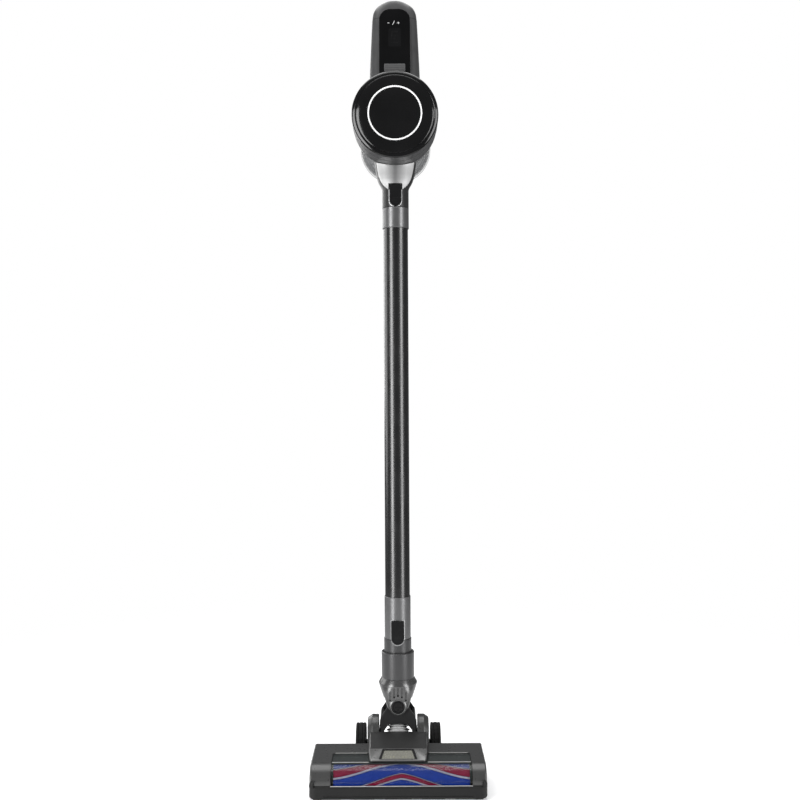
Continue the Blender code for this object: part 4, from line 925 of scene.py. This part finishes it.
up_hose = piece("neck_hose_riser", hose(upper_line, 5.2, 14.9, 11.6), HOSE, "", ride=False, angle=70)
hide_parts("neck_hose_upper")
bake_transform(up_hose)

# ---- wand -----------------------------------------------------------------------------
low_collar = boolean(lathe([(18.6, 254.3), (19.0, 253.6), (19.0, 193.1), (15.9, 193.1), (15.9, 150.0), (13.9, 150.0), (13.9, 225.7), (18.2, 225.7), (18.2, 254.3)],
                           "Z", steps=128, r=0.3),
                     ("cut", prism([(9.7, 220.3), (8.6, 221.5), (-8.6, 221.5), (-9.7, 220.3)] + arc(0, 196.3, 9.7, 180, 360, 24), "XZ", -30.0, -15.95)))
piece("lower_collar_turned", low_collar, COLLAR, "wand", "lower_collar", bevel=0.25)


def button_outline(w, top, mid, bulge=0.0):
    pts = [(w, top - 1.3), (w - 0.4, top - 0.4), (w - 1.3, top), (-w + 1.3, top), (-w + 0.4, top - 0.4), (-w, top - 1.3)]
    return pts + arc(0, mid, w, 180, 360, 24)


def wrapped(bm, radius, base):
    """Curves a flat front piece back round a vertical cylinder, keeping its middle in place."""
    for v in bm.verts:
        off = radius - math.sqrt(max(1.0, radius * radius - v.co.x * v.co.x))
        v.co.y += off * base
    return bm


def release(name, w, top, mid, front, back, node, body):
    bm = pad(button_outline(w, top, mid), "XZ", front, back, 0.9, 0.2, 4)
    for v in bm.verts:                       # a shallow finger dish across the lower half
        if v.co.y < (front + back) / 2:
            d = math.hypot(v.co.x, v.co.z - mid - 2.0)
            v.co.y += 0.55 * max(0.0, 1 - (d / (w * 0.95)) ** 2)
    piece(name, bm, BUTTON, body, node)
    grips = [pad(rounded_rect(-w * 0.5, w * 0.5, mid - 4.4 + 2.2 * k, mid - 3.7 + 2.2 * k, 0.3, 3), "XZ", front - 0.05, front + 1.2, 0.25) for k in range(4)]
    piece(name + "_grips", join(*grips), BLACK_SATIN, body)


def surround(w, top, mid, radius, z0, z1):
    """A thin light ring round a release button, laid on the round collar between z0 and z1; its light colour is a
    painted highlight of the pocket's edge.
    """
    outer_loop, inner_loop = button_outline(w + 1.2, top + 1.0, mid - 0.9), button_outline(w + 0.4, top + 0.3, mid - 0.1)
    ring = boolean(pad(outer_loop, "XZ", -radius - 0.5, -radius + 3.0, 0.3, 0.0, 3), ("cut", prism(inner_loop, "XZ", -40.0, 0.0)))
    for v in ring.verts:
        v.co.y += radius - math.sqrt(max(1.0, radius * radius - v.co.x * v.co.x))
    return boolean(ring, ("keep", block((-30.0, 30.0), (-60.0, 0.0), (z0, z1), 0.0, 0.3)))


release("lower_button_cap", 9.1, 220.8, 196.3, -22.0, -18.6, "lower_release_button", "lower_release_button")
release("upper_button_cap", 8.5, 851.8, 829.6, -22.6, -19.2, "upper_release_button", "upper_release_button")
# Light rings round both release buttons, in two parts each: painted highlights of the pocket edges.
piece("lower_button_surround", surround(9.1, 220.8, 196.3, 19.0, 193.2, 240.0), BUTTON_RING_HIGHLIGHT, "wand")
piece("lower_surround_foot", surround(9.1, 220.8, 196.3, 20.0, 170.0, 192.7), BUTTON_RING_HIGHLIGHT, "upper_neck")
piece("upper_button_surround", surround(8.5, 851.8, 829.6, 19.3, 820.8, 846.0), BUTTON_RING_HIGHLIGHT, "main_unit")
piece("upper_surround_foot", surround(8.5, 851.8, 829.6, 19.3, 800.0, 819.8), BUTTON_RING_HIGHLIGHT, "wand")

piece("wand_tube_drawn", lathe([(18.0, 815.0), (18.0, 226.0), (16.6, 226.0), (16.6, 815.0)], "Z", steps=144, r=0.3), TUBE, "wand", "wand_tube")
piece("upper_collar_turned", lathe([(15.6, 862.0), (15.6, 820.0), (19.3, 820.0), (19.3, 791.4), (18.7, 790.5), (18.2, 790.5), (18.2, 815.4), (13.6, 815.4), (13.6, 862.0)],
                                   "Z", steps=128, r=0.3), COLLAR, "wand", "upper_collar")
remake("wire_conduit", DARK)

# ---- inlet neck and its silver cover ------------------------------------------------------
CZ = 943.2
neck_sections = [(820.5, 19.3, 19.3), (847.5, 19.3, 19.3), (851.0, 20.6, 19.9), (855.5, 23.2, 20.9),
                 (860.0, 25.3, 21.9), (867.0, 27.4, 23.0), (877.0, 29.2, 23.7), (896.0, 31.4, 24.3)]


def lean(z):
    """How far the inlet neck has swept back by height z."""
    t = max(0.0, min(1.0, (z - 849.0) / 36.0))
    return 13.0 * t * t * (3.0 - 2.0 * t)


def neck_at(z):
    for (z0, a0, b0), (z1, a1, b1) in zip(neck_sections, neck_sections[1:]):
        if z <= z1:
            t = max(0.0, (z - z0) / (z1 - z0))
            return a0 + t * (a1 - a0), b0 + t * (b1 - b0)
    return neck_sections[-1][1:]


zs = [820.5, 821.0, 824.0] + [828.0 + 2.0 * k for k in range(35)]
rows = [[(x, y + lean(z), z) for x, y in squircle(*[c - (0.4 if i == 0 else 0.0) for c in neck_at(z)], 2.0, 96)] for i, z in enumerate(zs)]
inlet = boolean(stack(rows),
                ("cut", rod(60.4, "Y", -80.0, 60.0, (0, 0, CZ), steps=160)),
                ("cut", rod(16.0, "Z", 800.0, 864.4, steps=64)),
                ("cut", rod(12.0, "Z", 850.0, 900.0, (0, 4.0, 0))),
                ("cut", prism([(9.3, 852.6), (-9.3, 852.6)] + arc(0, 829.6, 9.3, 180, 360, 24), "XZ", -30.0, -17.0)))
piece("inlet_neck_shell", inlet, GRAPH_DARK, "main_unit", "inlet_neck", bevel=0.4)

cover_edge = [(845.0, 10.5), (847.5, 13.5), (851.0, 17.0), (855.0, 20.0), (860.0, 22.4),
              (867.0, 24.6), (877.0, 26.6), (890.0, 28.4)]


def edge_at(z):
    for (z0, w0), (z1, w1) in zip(cover_edge, cover_edge[1:]):
        if z <= z1:
            t = (z - z0) / (z1 - z0)
            return w0 + t * (w1 - w0)
    return cover_edge[-1][1]


def wrap(z, w, out, t):
    a, b = neck_at(z)
    swing_a = math.asin(min(0.999, w / (a + 2.6))) * t
    return ((a + out) * math.sin(swing_a), lean(z) - (b + out) * math.cos(swing_a), z)


cover_rows = [845.0 + 45.0 * (k / 40) ** 1.15 for k in range(41)]
cols = 48
rings = []
for z in cover_rows:
    w = edge_at(z)
    edge_in = 0.35
    ring = [wrap(z, w, 2.6 - (0.45 if abs(i) == cols // 2 else 0.12 if abs(i) == cols // 2 - 1 else 0.0), i / (cols // 2)) for i in range(-cols // 2, cols // 2 + 1)]
    ring += [wrap(z, w, 0.55, i / (cols // 2)) for i in range(cols // 2, -cols // 2 - 1, -1)]
    rings.append(ring)
plate = boolean(stack(rings), ("cut", rod(61.7, "Y", -80.0, 60.0, (0, 0, CZ), steps=160)),
                ("cut", prism([(10.1, 853.4), (-10.1, 853.4), (-10.1, 820.0), (10.1, 820.0)], "XZ", -60.0, 0.0)))
piece("neck_cover_plate", plate, COVER, "main_unit", "neck_cover", bevel=0.3)

# ---- cyclone housing: stepped rings with a parting groove ----
AX = (0, 0, CZ)
ring_profile = [(57.0, 20.0), (57.0, 4.6), (58.0, 4.0), (60.2, 3.6), (60.8, 2.6), (60.8, -5.6), (60.2, -6.0), (60.2, -7.0), (60.8, -7.4), (60.8, -14.0), (61.3, -14.8),
                (61.4, -15.4), (61.4, -31.6), (60.7, -32.2), (60.7, -33.4), (61.4, -34.0), (61.4, -51.2), (61.0, -52.0), (58.4, -52.0), (58.4, -28.0),
                (24.0, -28.0), (24.0, -25.0), (54.8, -25.0), (54.8, 20.0)]
rings_bm = boolean(lathe(ring_profile, "Y", AX, 160, r=0.35), ("cut", rod(10.0, "Z", 870.0, 905.0, (0, 4.0, 0))))
piece("cyclone_housing_turned", rings_bm, GUN, "main_unit", "cyclone_housing")
teeth = [boolean(lathe([(57.9, 17.0), (57.9, 6.0), (56.6, 6.0), (56.6, 17.0)], "Y", AX, 160, r=0.3),
                 ("keep", prism(arc(0, CZ, 70.0, a - 6.0, a + 6.0, 4) + [(0, CZ)], "XZ", 0.0, 30.0))) for a in (20, 160, 200, 340)]
piece("bin_bayonet_lugs", join(*teeth), GRAPH, "main_unit")

# ---- filter cap ----
cap = [(0, -57.4), (36.0, -57.0), (46.0, -55.9), (55.0, -53.4), (57.4, -52.4), (60.9, -52.4), (61.3, -53.0), (61.1, -53.9), (60.0, -55.1), (58.0, -56.1),
       (56.7, -56.5), (55.9, -56.2), (55.1, -56.2), (54.6, -57.2), (53.0, -58.0), (49.0, -59.1), (44.0, -60.0), (40.0, -60.4), (38.8, -60.35), (38.5, -59.6),
       (36.1, -59.6), (35.9, -60.3), (30.0, -60.45), (15.0, -60.6), (0, -60.65)]
piece("filter_cap_turned", lathe(cap, "Y", AX, 160, closed=False, r=0.35), PIANO, "filter_cap", "filter_cap")
piece("cap_trim_ring", lathe([(38.4, -59.7), (38.4, -60.9), (38.0, -61.4), (36.7, -61.4), (36.3, -60.9), (36.2, -59.7)], "Y", AX, 160, r=0.3),
      BRIGHT, "filter_cap", "trim_ring")
pleats = lathe([(49.6, -31.2), (49.6, -49.8), (25.4, -49.8), (25.4, -31.2)], "Y", AX, 240, r=0.0,
               wobble=lambda r, h, t: (-1.5 if int(t / (2 * math.pi) * 240 + 0.5) % 2 else 0.0) * (1 if r > 40 else -1))
piece("filter_pleats", pleats, FILTER, "filter_cap", "hepa_filter", angle=25)

# ---- dust bin, shroud and lid ----
bin_profile = [(54.3, 134.0), (54.3, 128.0), (54.05, 127.6), (54.05, 126.4), (54.3, 126.0), (54.3, 12.0), (53.9, 8.0), (52.5, 8.0), (52.5, 132.6), (53.0, 134.0)]
bin_bm = lathe(bin_profile, "Y", AX, 144, r=0.35)
lugs = []
for s in (-1, 1):
    outline = [(118.0, 995.8), (133.0, 995.6), (139.0, 999.4), (140.3, 1003.0), (137.2, 1005.9), (132.0, 1004.4)]
    lug = boolean(pad(rounded(outline, 1.6, True, 4), "YZ", *sorted((s * 8.5, s * 13.0)), 0.5), ("cut", rod(2.3, "X", -20, 20, (0, 137.2, 1002.5), steps=24)))
    lugs.append(lug)
piece("dust_bin_wall", join(bin_bm, *lugs), CLEAR, "main_unit", "dust_bin")
marks = [boolean(lathe([(54.45, 40.0 + 22.0 * k), (54.45, 39.2 + 22.0 * k), (53.9, 39.2 + 22.0 * k), (53.9, 40.0 + 22.0 * k)], "Y", AX, 144, r=0.1),
                 ("keep", prism(arc(0, CZ, 70.0, a - 9.0, a + 9.0, 4) + [(0, CZ)], "XZ", 0.0, 140.0))) for k in range(3) for a in (-20.0, 200.0)]
piece("bin_level_lines", join(*marks), TRIM_AND_HIGHLIGHT, "main_unit")
shroud = lathe([(37.5, 74.0), (37.5, 10.0), (30.4, 10.0), (30.4, 11.8), (36.6, 11.8), (36.6, 72.2), (30.4, 72.2), (30.4, 74.0)], "Y", AX, 96, r=0.3)
piece("shroud_drum", shroud, MESH_STEEL, "main_unit", "shroud_mesh")
studs = bmesh.new()
for row in range(11):
    for k in range(44):
        a = 2 * math.pi * (k + 0.5 * (row % 2)) / 44
        h = 17.0 + 5.0 * row
        m = Matrix.Translation(Vector((37.45 * math.cos(a), h, CZ + 37.45 * math.sin(a)))) @ Matrix.Rotation(-a, 4, "Y")
        bmesh.ops.create_cone(studs, cap_ends=True, segments=6, radius1=1.45, radius2=1.1, depth=0.5, matrix=m @ Matrix.Rotation(math.pi / 2, 4, "Y"))
piece("shroud_perforations", studs, BLACK_SATIN, "main_unit", angle=30)
remake("cyclone_core", DARK)
duct = [boolean(lathe([(51.6, 66.0), (51.6, 8.5), (45.5, 8.5), (45.5, 66.0)], "Y", AX, 144, r=0.6),
                ("keep", prism(arc(0, CZ, 70.0, -78.0, 14.0, 16) + [(0, CZ)], "XZ", 0.0, 140.0)))]
piece("bin_inner_duct", join(*duct), GRAPH_DARK, "main_unit")

lid = lathe([(0, 140.0), (30.0, 140.2), (52.0, 139.7), (54.6, 139.2), (56.0, 137.6), (56.0, 134.6), (55.4, 134.4), (0, 134.4)], "Y", AX, 144, closed=False, r=0.4)
lid = boolean(lid, ("cut", block((-13.5, -8.1), (120.0, 150.0), (990.5, 1010.0), 0.0, 0.3)),
              ("cut", block((8.1, 13.5), (120.0, 150.0), (990.5, 1010.0), 0.0, 0.3)))
knuckle = boolean(pad([(134.5, 996.0), (140.0, 996.0), (140.4, 1001.5)] + arc(137.2, 1002.5, 3.3, 10, 180, 12) + [(134.5, 1001.0)], "YZ", -7.9, 7.9, 0.4),
                  ("cut", rod(2.3, "X", -20.0, 20.0, (0, 137.2, 1002.5), steps=24)))
piece("bin_lid_disc", join(lid, knuckle), CLEAR, "bin_lid", "bin_lid", bevel=0.2)
lid_rings = [lathe([(r, 140.9), (r, 139.9), (r - 1.6, 139.9), (r - 1.6, 140.9)], "Y", AX, 96, r=0.3) for r in (47.0, 30.0)]
for k in range(8):
    a = math.radians(45.0 * k)
    spoke = pad(rounded_rect(30.0, 45.8, -0.7, 0.7, 0.4, 3), "XZ", 139.9, 140.75, 0.25)
    bmesh.ops.rotate(spoke, verts=spoke.verts, cent=(0, 0, 0), matrix=Matrix.Rotation(a, 3, "Y"))
    bmesh.ops.translate(spoke, verts=spoke.verts, vec=(0, 0, CZ))
    lid_rings.append(spoke)
piece("bin_lid_ribs", join(*lid_rings), GRAPH_DARK, "bin_lid")
piece("lid_seal_ring", lathe([(51.7, 134.2), (51.7, 132.4), (51.2, 131.8), (51.7, 130.8), (49.2, 130.8), (49.2, 134.2)], "Y", AX, 120, r=0.3),
      RUBBER, "bin_lid", "bin_lid_seal")
latch = [block((-9.0, 9.0), (116.0, 133.4), (883.2, 888.2), 1.0, 2.4)]
latch += [block((-6.0, 6.0), (119.0 + 2.6 * k, 120.3 + 2.6 * k), (882.7, 883.8), 0.3, 0.5) for k in range(4)]
piece("bin_latch_slider", join(*latch), RED, "bin_latch", "bin_latch")
remake("lid_hinge_pin", STEEL)

# ---- motor housing ---------------------------------------------------------------------
tongue = [(980.0, 36.8, -36.6, 36.0), (1010.0, 36.3, -31.3, 36.0), (1040.0, 35.2, -25.6, 36.0),
          (1070.0, 33.9, -20.0, 35.6), (1092.0, 32.8, -15.8, 34.6), (1104.0, 31.7, -13.6, 33.0),
          (1110.0, 29.7, -12.6, 31.2), (1115.6, 25.4, -11.4, 28.4), (1119.4, 18.6, -10.0, 24.4),
          (1121.6, 12.4, -8.6, 20.4), (1123.0, 5.4, -5.0, 15.0)]


def tongue_at(z):
    """Catmull-Rom through the housing's stations."""
    t = tongue
    i = max(0, min(len(t) - 2, next((k for k in range(len(t) - 1) if t[k + 1][0] >= z), len(t) - 2)))
    p0, p1, p2, p3 = t[max(0, i - 1)], t[i], t[i + 1], t[min(len(t) - 1, i + 2)]
    u = (z - p1[0]) / (p2[0] - p1[0])
    out = []
    for c in (1, 2, 3):
        m1 = (p2[c] - p0[c]) / (p2[0] - p0[0]) * (p2[0] - p1[0])
        m2 = (p3[c] - p1[c]) / (p3[0] - p1[0]) * (p2[0] - p1[0]) if p3[0] > p1[0] else 0.0
        out.append((2 * u ** 3 - 3 * u ** 2 + 1) * p1[c] + (u ** 3 - 2 * u ** 2 + u) * m1 + (-2 * u ** 3 + 3 * u ** 2) * p2[c] + (u ** 3 - u ** 2) * m2)
    return out


def tongue_ring(z, less=0.0, n=96):
    w, yf, yr = tongue_at(z)
    power = 4.5 if z < 1092 else 4.5 - 1.5 * min(1.0, (z - 1092) / 24.0)
    return [(x, y, z) for x, y in squircle(max(0.6, w - less), max(0.6, (yr - yf) / 2 - less), power, n, 0.0, (yf + yr) / 2)]


zs = [980.0 + 6.0 * k for k in range(19)] + [1091.0, 1094.0, 1097.0, 1100.0, 1102.5, 1105.0, 1107.5, 1110.0, 1112.0, 1114.0, 1116.0, 1118.0, 1119.5, 1120.8, 1121.8, 1122.5, 1122.9, 1123.0]
body = stack([tongue_ring(z) for z in sorted(zs)])
LEANA = math.atan2(23.0, 122.0)
LEAN = Matrix.Rotation(-LEANA, 4, "X")
PY, PZ = -32.6, 1003.0


def on_panel(bm):
    """A flat XZ piece (x, depth outwards = -y, up) laid on the leaning front."""
    bmesh.ops.transform(bm, matrix=Matrix.Translation((0, PY, PZ)) @ LEAN, verts=bm.verts)
    return bm


def panel_pad(loop, lo, hi, r_top=0.3, n=3):
    """lo and hi are depths outwards."""
    return on_panel(pad(loop, "XZ", -hi, -lo, r_top, 0.0, n))


def panel_outline(w, low, high, r_low, r_top, n=12):
    return (arc(w - r_top, high - r_top, r_top, 0, 90, n) + arc(-w + r_top, high - r_top, r_top, 90, 180, n)
            + arc(-w + r_low, low + r_low, r_low, 180, 270, 4) + arc(w - r_low, low + r_low, r_low, 270, 360, 4))


inside = [tongue_ring(z, 3.2, 64) for z in (970.5, 1000.0, 1030.0, 1060.0, 1090.0, 1104.0, 1109.0)]
chamfer = stack([[tuple(Matrix.Translation((0, PY, PZ)) @ LEAN @ Vector((x, -d, z))) for x, z in panel_outline(22.3 + g, 3.7 - g, 106.3 + g, 2.3 + g, 16.3 + g)]
                 for d, g in ((-1.7, 0.0), (1.6, 0.0), (3.6, 2.0), (20.0, 2.0))])
vents = []
for k in range(7):
    z = 1030.0 + 7.0 * k
    for s in (-1, 1):
        vents.append(("cut", pad(rounded_rect(2.0, 24.0, z, z + 2.6, 1.25, 4), "YZ", *sorted((s * 31.0, s * 40.0)), 0.0)))
body = boolean(body, ("cut", stack(inside)),
               ("cut", rod(60.4, "Y", -24.7, 80.0, (0, 0, CZ), steps=160)),
               ("cut", rod(61.8, "Y", -90.0, -24.6, (0, 0, CZ), steps=160)),
               ("cut", chamfer), *vents)
piece("motor_housing_shell", body, GUN, "main_unit", "motor_housing", bevel=0.4)
backing = []
for s in (-1, 1):
    backing.append(block(sorted((s * 29.2, s * 31.6)), (-2.0, 28.0), (1024.0, 1082.0), 0.3, 0.6))
piece("vent_backing", join(*backing), DARK, "main_unit")
seam = boolean(stack([tongue_ring(z, -0.12, 96) for z in (1094.3, 1094.9)] ), ("cut", stack([tongue_ring(z, 1.2, 96) for z in (1093.0, 1096.0)])))
piece("housing_parting_line", seam, DARK, "main_unit")

panel = boolean(panel_pad(panel_outline(22.0, 4.0, 106.0, 2.0, 16.0), 0.2, 2.4, 0.5, 4),
                ("cut", panel_pad(rounded_rect(-15.6, 15.6, 7.0, 19.4, 1.5, 4), -1.0, 6.0, 0.0)))
piece("control_panel_glass", panel, PANEL, "main_unit", "top_panel")
piece("display_inlay", panel_pad(rounded_rect(-9.0, 9.0, 46.0, 74.0, 2.0, 5), 2.0, 2.46, 0.05), DISPLAY, "main_unit")
segs = []
for k in range(4):
    segs.append(panel_pad(rounded_rect(-5.4, 5.4, 50.0 + 5.6 * k, 52.6 + 5.6 * k, 0.6, 3), 2.3, 2.56, 0.08))
piece("level_bars", join(*segs), DISPLAY, "main_unit")
signs = [panel_pad(rounded_rect(-10.0, -7.0, 83.0, 83.55, 0.15, 2), 2.2, 2.54, 0.06)]
slash = [(-3.2, 80.4), (-2.6, 80.4), (0.4, 86.4), (-0.2, 86.4)]
signs.append(panel_pad(slash, 2.2, 2.54, 0.04))
plus = [(4.0, 83.0), (5.2, 83.0), (5.2, 81.8), (5.75, 81.8), (5.75, 83.0), (6.95, 83.0), (6.95, 83.55), (5.75, 83.55), (5.75, 84.75), (5.2, 84.75), (5.2, 83.55), (4.0, 83.55)]
signs.append(panel_pad(plus, 2.2, 2.54, 0.04))
piece("speed_marks", join(*signs), MARK, "main_unit")
pb = panel_pad(rounded_rect(-15.2, 15.2, 7.4, 19.0, 1.3, 5), -0.3, 3.0, 0.7, 4)
piece("power_button_bar", pb, BUTTON_GREY, "power_button", "power_button")
pb_lines = [panel_pad(rounded_rect(-14.0, 14.0, 9.6 + 2.7 * k, 10.1 + 2.7 * k, 0.2, 2), 2.7, 3.14, 0.08) for k in range(3)]
piece("power_button_lines", join(*pb_lines), GUN_LIGHT, "power_button")
for n in ("control_board",):
    remake(n, BOARD)
remake("suction_motor", MOTOR)
remake("impeller", STEEL)

# ---- grip, trigger, battery ----
grip_rows = []
for k in range(34):
    y = 36.6 + 82.0 * k / 33
    t = (y - 36.6) / 82.0
    waist = math.sin(math.pi * t)
    w, h = 17.0 - 1.0 * waist, 22.0 - 2.2 * waist
    finger = 0.7 * math.sin(2 * math.pi * (y - 68.0) / 22.0) if 68.0 < y < 112.0 else 0.0
    ring = []
    for x, z in squircle(w, h, 3.0, 64):
        under = max(0.0, -z / h)
        ring.append((x, y, 1070.0 + 1.0 * waist + z - finger * under))
    grip_rows.append(ring)
grip = boolean(stack(grip_rows), ("cut", prism(squircle(12.6, 16.2, 3.0, 32, 0, 1070.8), "XZ", 20.0, 140.0)),
               ("cut", block((-7.4, 7.4), (45.5, 66.6), (1040.0, 1070.0), 0.0, 0.4)))
piece("grip_shell", grip, DARK, "main_unit", "grip", bevel=0.4)
pads = []
for s in (-1, 1):
    for k in range(11):
        y = 52.0 + 5.2 * k
        pads.append(pad(rounded_rect(y, y + 2.4, 1060.5, 1083.0, 1.1, 4), "YZ", *sorted((s * 15.2, s * 16.55)), 0.4))
piece("grip_side_ribs", join(*pads), RUBBER, "main_unit")
trigger = [(46.0, 1058.5), (46.0, 1043.6), (47.0, 1042.0), (49.0, 1040.9), (51.0, 1041.6), (54.0, 1042.6), (57.0, 1042.9), (60.0, 1043.2), (63.5, 1044.2), (66.1, 1046.0), (66.1, 1058.5)]
piece("trigger_blade", pad(trigger, "YZ", -7.0, 7.0, 1.2, 1.2, 4), BUTTON, "trigger", "trigger")

battery = pad(rounded_rect(-26.0, 26.0, 119.0, 155.0, 6.0, 8), "XY", 1012.0, 1100.0, 4.0, 3.0, 5)
grooves = [("cut", boolean(block((-27.0, 27.0), (118.0, 156.0), (z, z + 1.0), 0.0, 7.0), ("cut", block((-25.3, 25.3), (119.7, 154.3), (z - 1, z + 2), 0.0, 5.4)))) for z in (1028.0, 1084.0)]
battery = boolean(battery, ("cut", block((-9.4, 9.4), (128.6, 145.4), (1096.4, 1110.0), 0.0, 1.2)),
                  *[("cut", pad(rounded_rect(-16.0 + 8.0 * k, -12.0 + 8.0 * k, 1036.0, 1052.0, 1.9, 5), "XZ", 154.2, 160.0, 0.0)) for k in range(5)],
                  *grooves)
piece("battery_case", battery, BATTERY, "battery", "battery_pack", bevel=0.3)
gauge = [pad(rounded_rect(-7.5 + 5.5 * k, -3.5 + 5.5 * k, 1070.0, 1072.4, 0.9, 4), "XZ", 154.6, 155.0, 0.12) for k in range(3)]
piece("battery_gauge", join(*gauge), BUTTON_GREY, "battery")
rel = [block((-9.0, 9.0), (129.0, 145.0), (1098.4, 1101.4), 0.8, 1.6)]
rel += [block((-6.5, 6.5), (131.5 + 2.6 * k, 132.6 + 2.6 * k), (1101.0, 1101.8), 0.25, 0.4) for k in range(5)]
piece("battery_release_key", join(*rel), BUTTON, "battery_release", "battery_release")

# ---- floor -----------------------------------------------------------------------------
floor_bm = lathe([(0.0, 0.0), (300.0, 0.0), (900.0, 0.0), (2600.0, 0.0)], "Z", (0, 0, 0), 96, closed=False, r=0)
for v in floor_bm.verts:
    v.co = v.co * MM
floor_me = bpy.data.meshes.new("studio_floor")
floor_bm.to_mesh(floor_me)
floor_bm.free()
fm, fnt, fp = start("floor_pale", (0.93, 0.93, 0.935), 0.9)
grain_f = noise(fnt, coords(fnt), 3.0, 4.0)
fnt.links.new(blend_colour(fnt, spread(fnt, grain_f, 0.0, 1.0), (0.92, 0.92, 0.925), (0.945, 0.945, 0.95)), fp.inputs["Base Color"])
far = fnt.nodes.new("ShaderNodeVectorMath")
far.operation = "LENGTH"
fnt.links.new(coords(fnt), far.inputs[0])
fade = fnt.nodes.new("ShaderNodeMapRange")
fade.interpolation_type = "SMOOTHERSTEP"
fade.inputs["From Min"].default_value = 0.32
fade.inputs["From Max"].default_value = 1.2
fade.inputs["To Min"].default_value = 1.0
fade.inputs["To Max"].default_value = 0.0
fnt.links.new(far.outputs["Value"], fade.inputs["Value"])
fnt.links.new(fade.outputs["Result"], fp.inputs["Alpha"])
fp.inputs["Emission Color"].default_value = (1.0, 1.0, 1.0, 1.0)
fp.inputs["Emission Strength"].default_value = 0.22
floor_me.materials.append(fm)
floor = bpy.data.objects.new("studio_floor", floor_me)
scene.collection.objects.link(floor)

bpy.context.view_layer.update()
